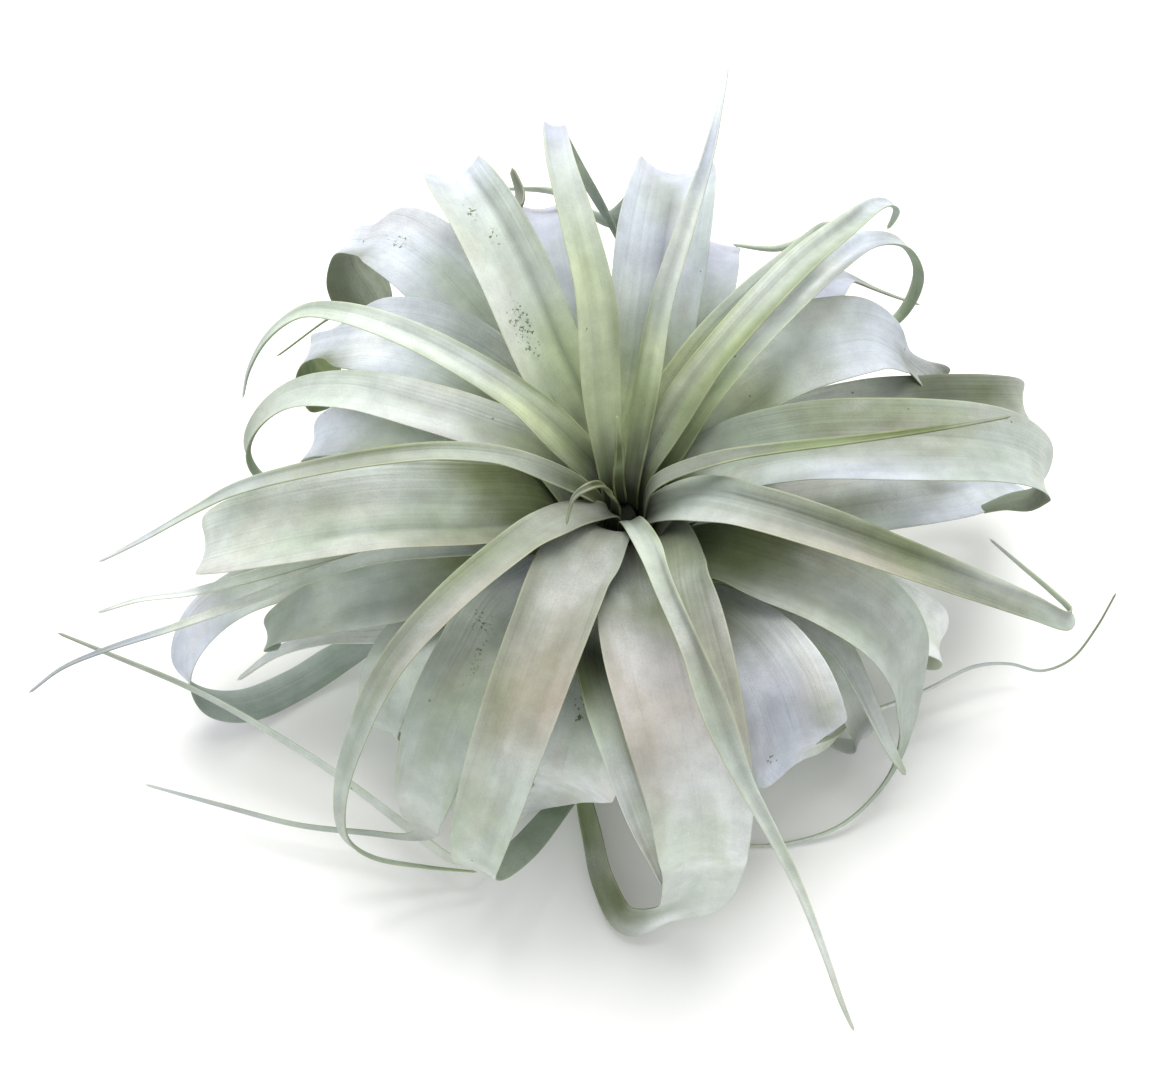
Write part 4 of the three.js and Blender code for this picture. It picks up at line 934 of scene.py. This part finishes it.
def makeBark():
    material, tree, surface = newMaterial("stem")
    where = onObject(tree)
    stretched = vectorMaths(tree, "MULTIPLY", where, bark["fibreStretch"])
    fibres = noise(tree, stretched, *bark["fibres"])
    blotches = noise(tree, where, *bark["blotches"])
    both = maths(tree, "ADD", times(tree, fibres, 0.5), times(tree, blotches, 0.5))
    wood = mixed(tree, ramped(tree, both, *bark["lightRange"]), colourOf(bark["dark"]),
                 colourOf(bark["light"]))
    height = plugAll(tree, newNode(tree, "ShaderNodeSeparateXYZ"), [where], "Z")
    # painted shade: the stem darkens to the near-black sheath green towards its top
    sheathed = ramped(tree, height, *bark["sheathed"])
    colour = mixed(tree, sheathed, wood, colourOf(bark["sheath"]))
    plug(tree, surface.inputs["Base Color"], colour)
    surface.inputs["Roughness"].default_value = bark["roughness"]
    addRelief(tree, surface, times(tree, fibres, bark["fibreHeight"]))
    return material


def addStem():
    top = stemProfile[-1][1]
    heights = np.arange(0, top, stem["step"])
    turn = np.linspace(0, 2 * math.pi, stem["sides"], endpoint=False)
    up, angle = np.meshgrid(heights, turn, indexing="ij")
    row = up / stem["scarRow"]
    shifted = angle * stem["scarsRound"] / (2 * math.pi) + 0.5 * np.floor(row)
    bow = stem["scarBow"] * np.abs(np.sin(math.pi * shifted)) ** stem["scarCurve"]
    relief = stem["scarDepth"] * (((row % 1) + bow) % 1)
    radius = stemRadius(heights)[:, None] - stem["inside"]
    radius = radius - relief * np.clip(up / stem["smoothFoot"], 0, 1)
    radius = np.maximum(radius, stem["least"])
    rings = np.stack([radius * np.cos(angle), radius * np.sin(angle), up], -1).reshape(-1, 3)
    points = np.vstack([rings, [[0, 0, 0], [0, 0, top - stem["domed"]]]]) * mm
    sides, last = stem["sides"], len(heights) - 1
    foot, tip = len(rings), len(rings) + 1
    pairs = [(j, (j + 1) % sides) for j in range(sides)]
    faces = [(i * sides + j, i * sides + k, (i + 1) * sides + k, (i + 1) * sides + j)
             for i in range(last) for j, k in pairs]
    faces += [(k, j, foot) for j, k in pairs]
    faces += [(last * sides + j, last * sides + k, tip) for j, k in pairs]
    piece = inScene("visual_stem", smoothMesh("stem", points, faces, makeBark()))
    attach(piece, "root")
    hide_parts("stem")


addStem()
print("stem made")


# Floor and light. A lamp has its place, size, power and colour. Sizes are in metres.
studio = {"floor": 6.0, "floorColour": "#f6f6f4", "floorRoughness": 0.9,
          "world": (0.98, 0.99, 1.0), "worldStrength": 0.66, "aim": (0, 0, 0.08),
          "lamps": [("overhead", (0.02, 0.55, 1.15), 1.0, 20.0, (1.0, 0.99, 0.975)),
                    ("front", (-0.5, -0.9, 0.9), 0.9, 2.0, (0.96, 0.98, 1.0))]}


def makeStudio():
    half = studio["floor"] / 2
    mesh = bpy.data.meshes.new("floor")
    corners = [(-half, -half, 0), (half, -half, 0), (half, half, 0), (-half, half, 0)]
    mesh.from_pydata(corners, [], [(0, 1, 2, 3)])
    floor = inScene("floor", mesh)
    material, _, surface = newMaterial("floor")
    surface.inputs["Base Color"].default_value = colourOf(studio["floorColour"])
    surface.inputs["Roughness"].default_value = studio["floorRoughness"]
    mesh.materials.append(material)
    world = bpy.data.worlds.new("studio")
    world.use_nodes = True
    sky = world.node_tree.nodes["Background"]
    sky.inputs["Color"].default_value = (*studio["world"], 1)
    sky.inputs["Strength"].default_value = studio["worldStrength"]
    bpy.context.scene.world = world
    for name, place, size, power, colour in studio["lamps"]:
        data = bpy.data.lights.new(name, "AREA")
        data.size, data.energy, data.color = size, power, colour
        lamp = inScene(name, data)
        lamp.location = place
        towards = Vector(studio["aim"]) - lamp.location
        lamp.rotation_euler = towards.to_track_quat("-Z", "Y").to_euler()
    bpy.context.scene.view_settings.view_transform = "Standard"


makeStudio()
print("floor and light made")
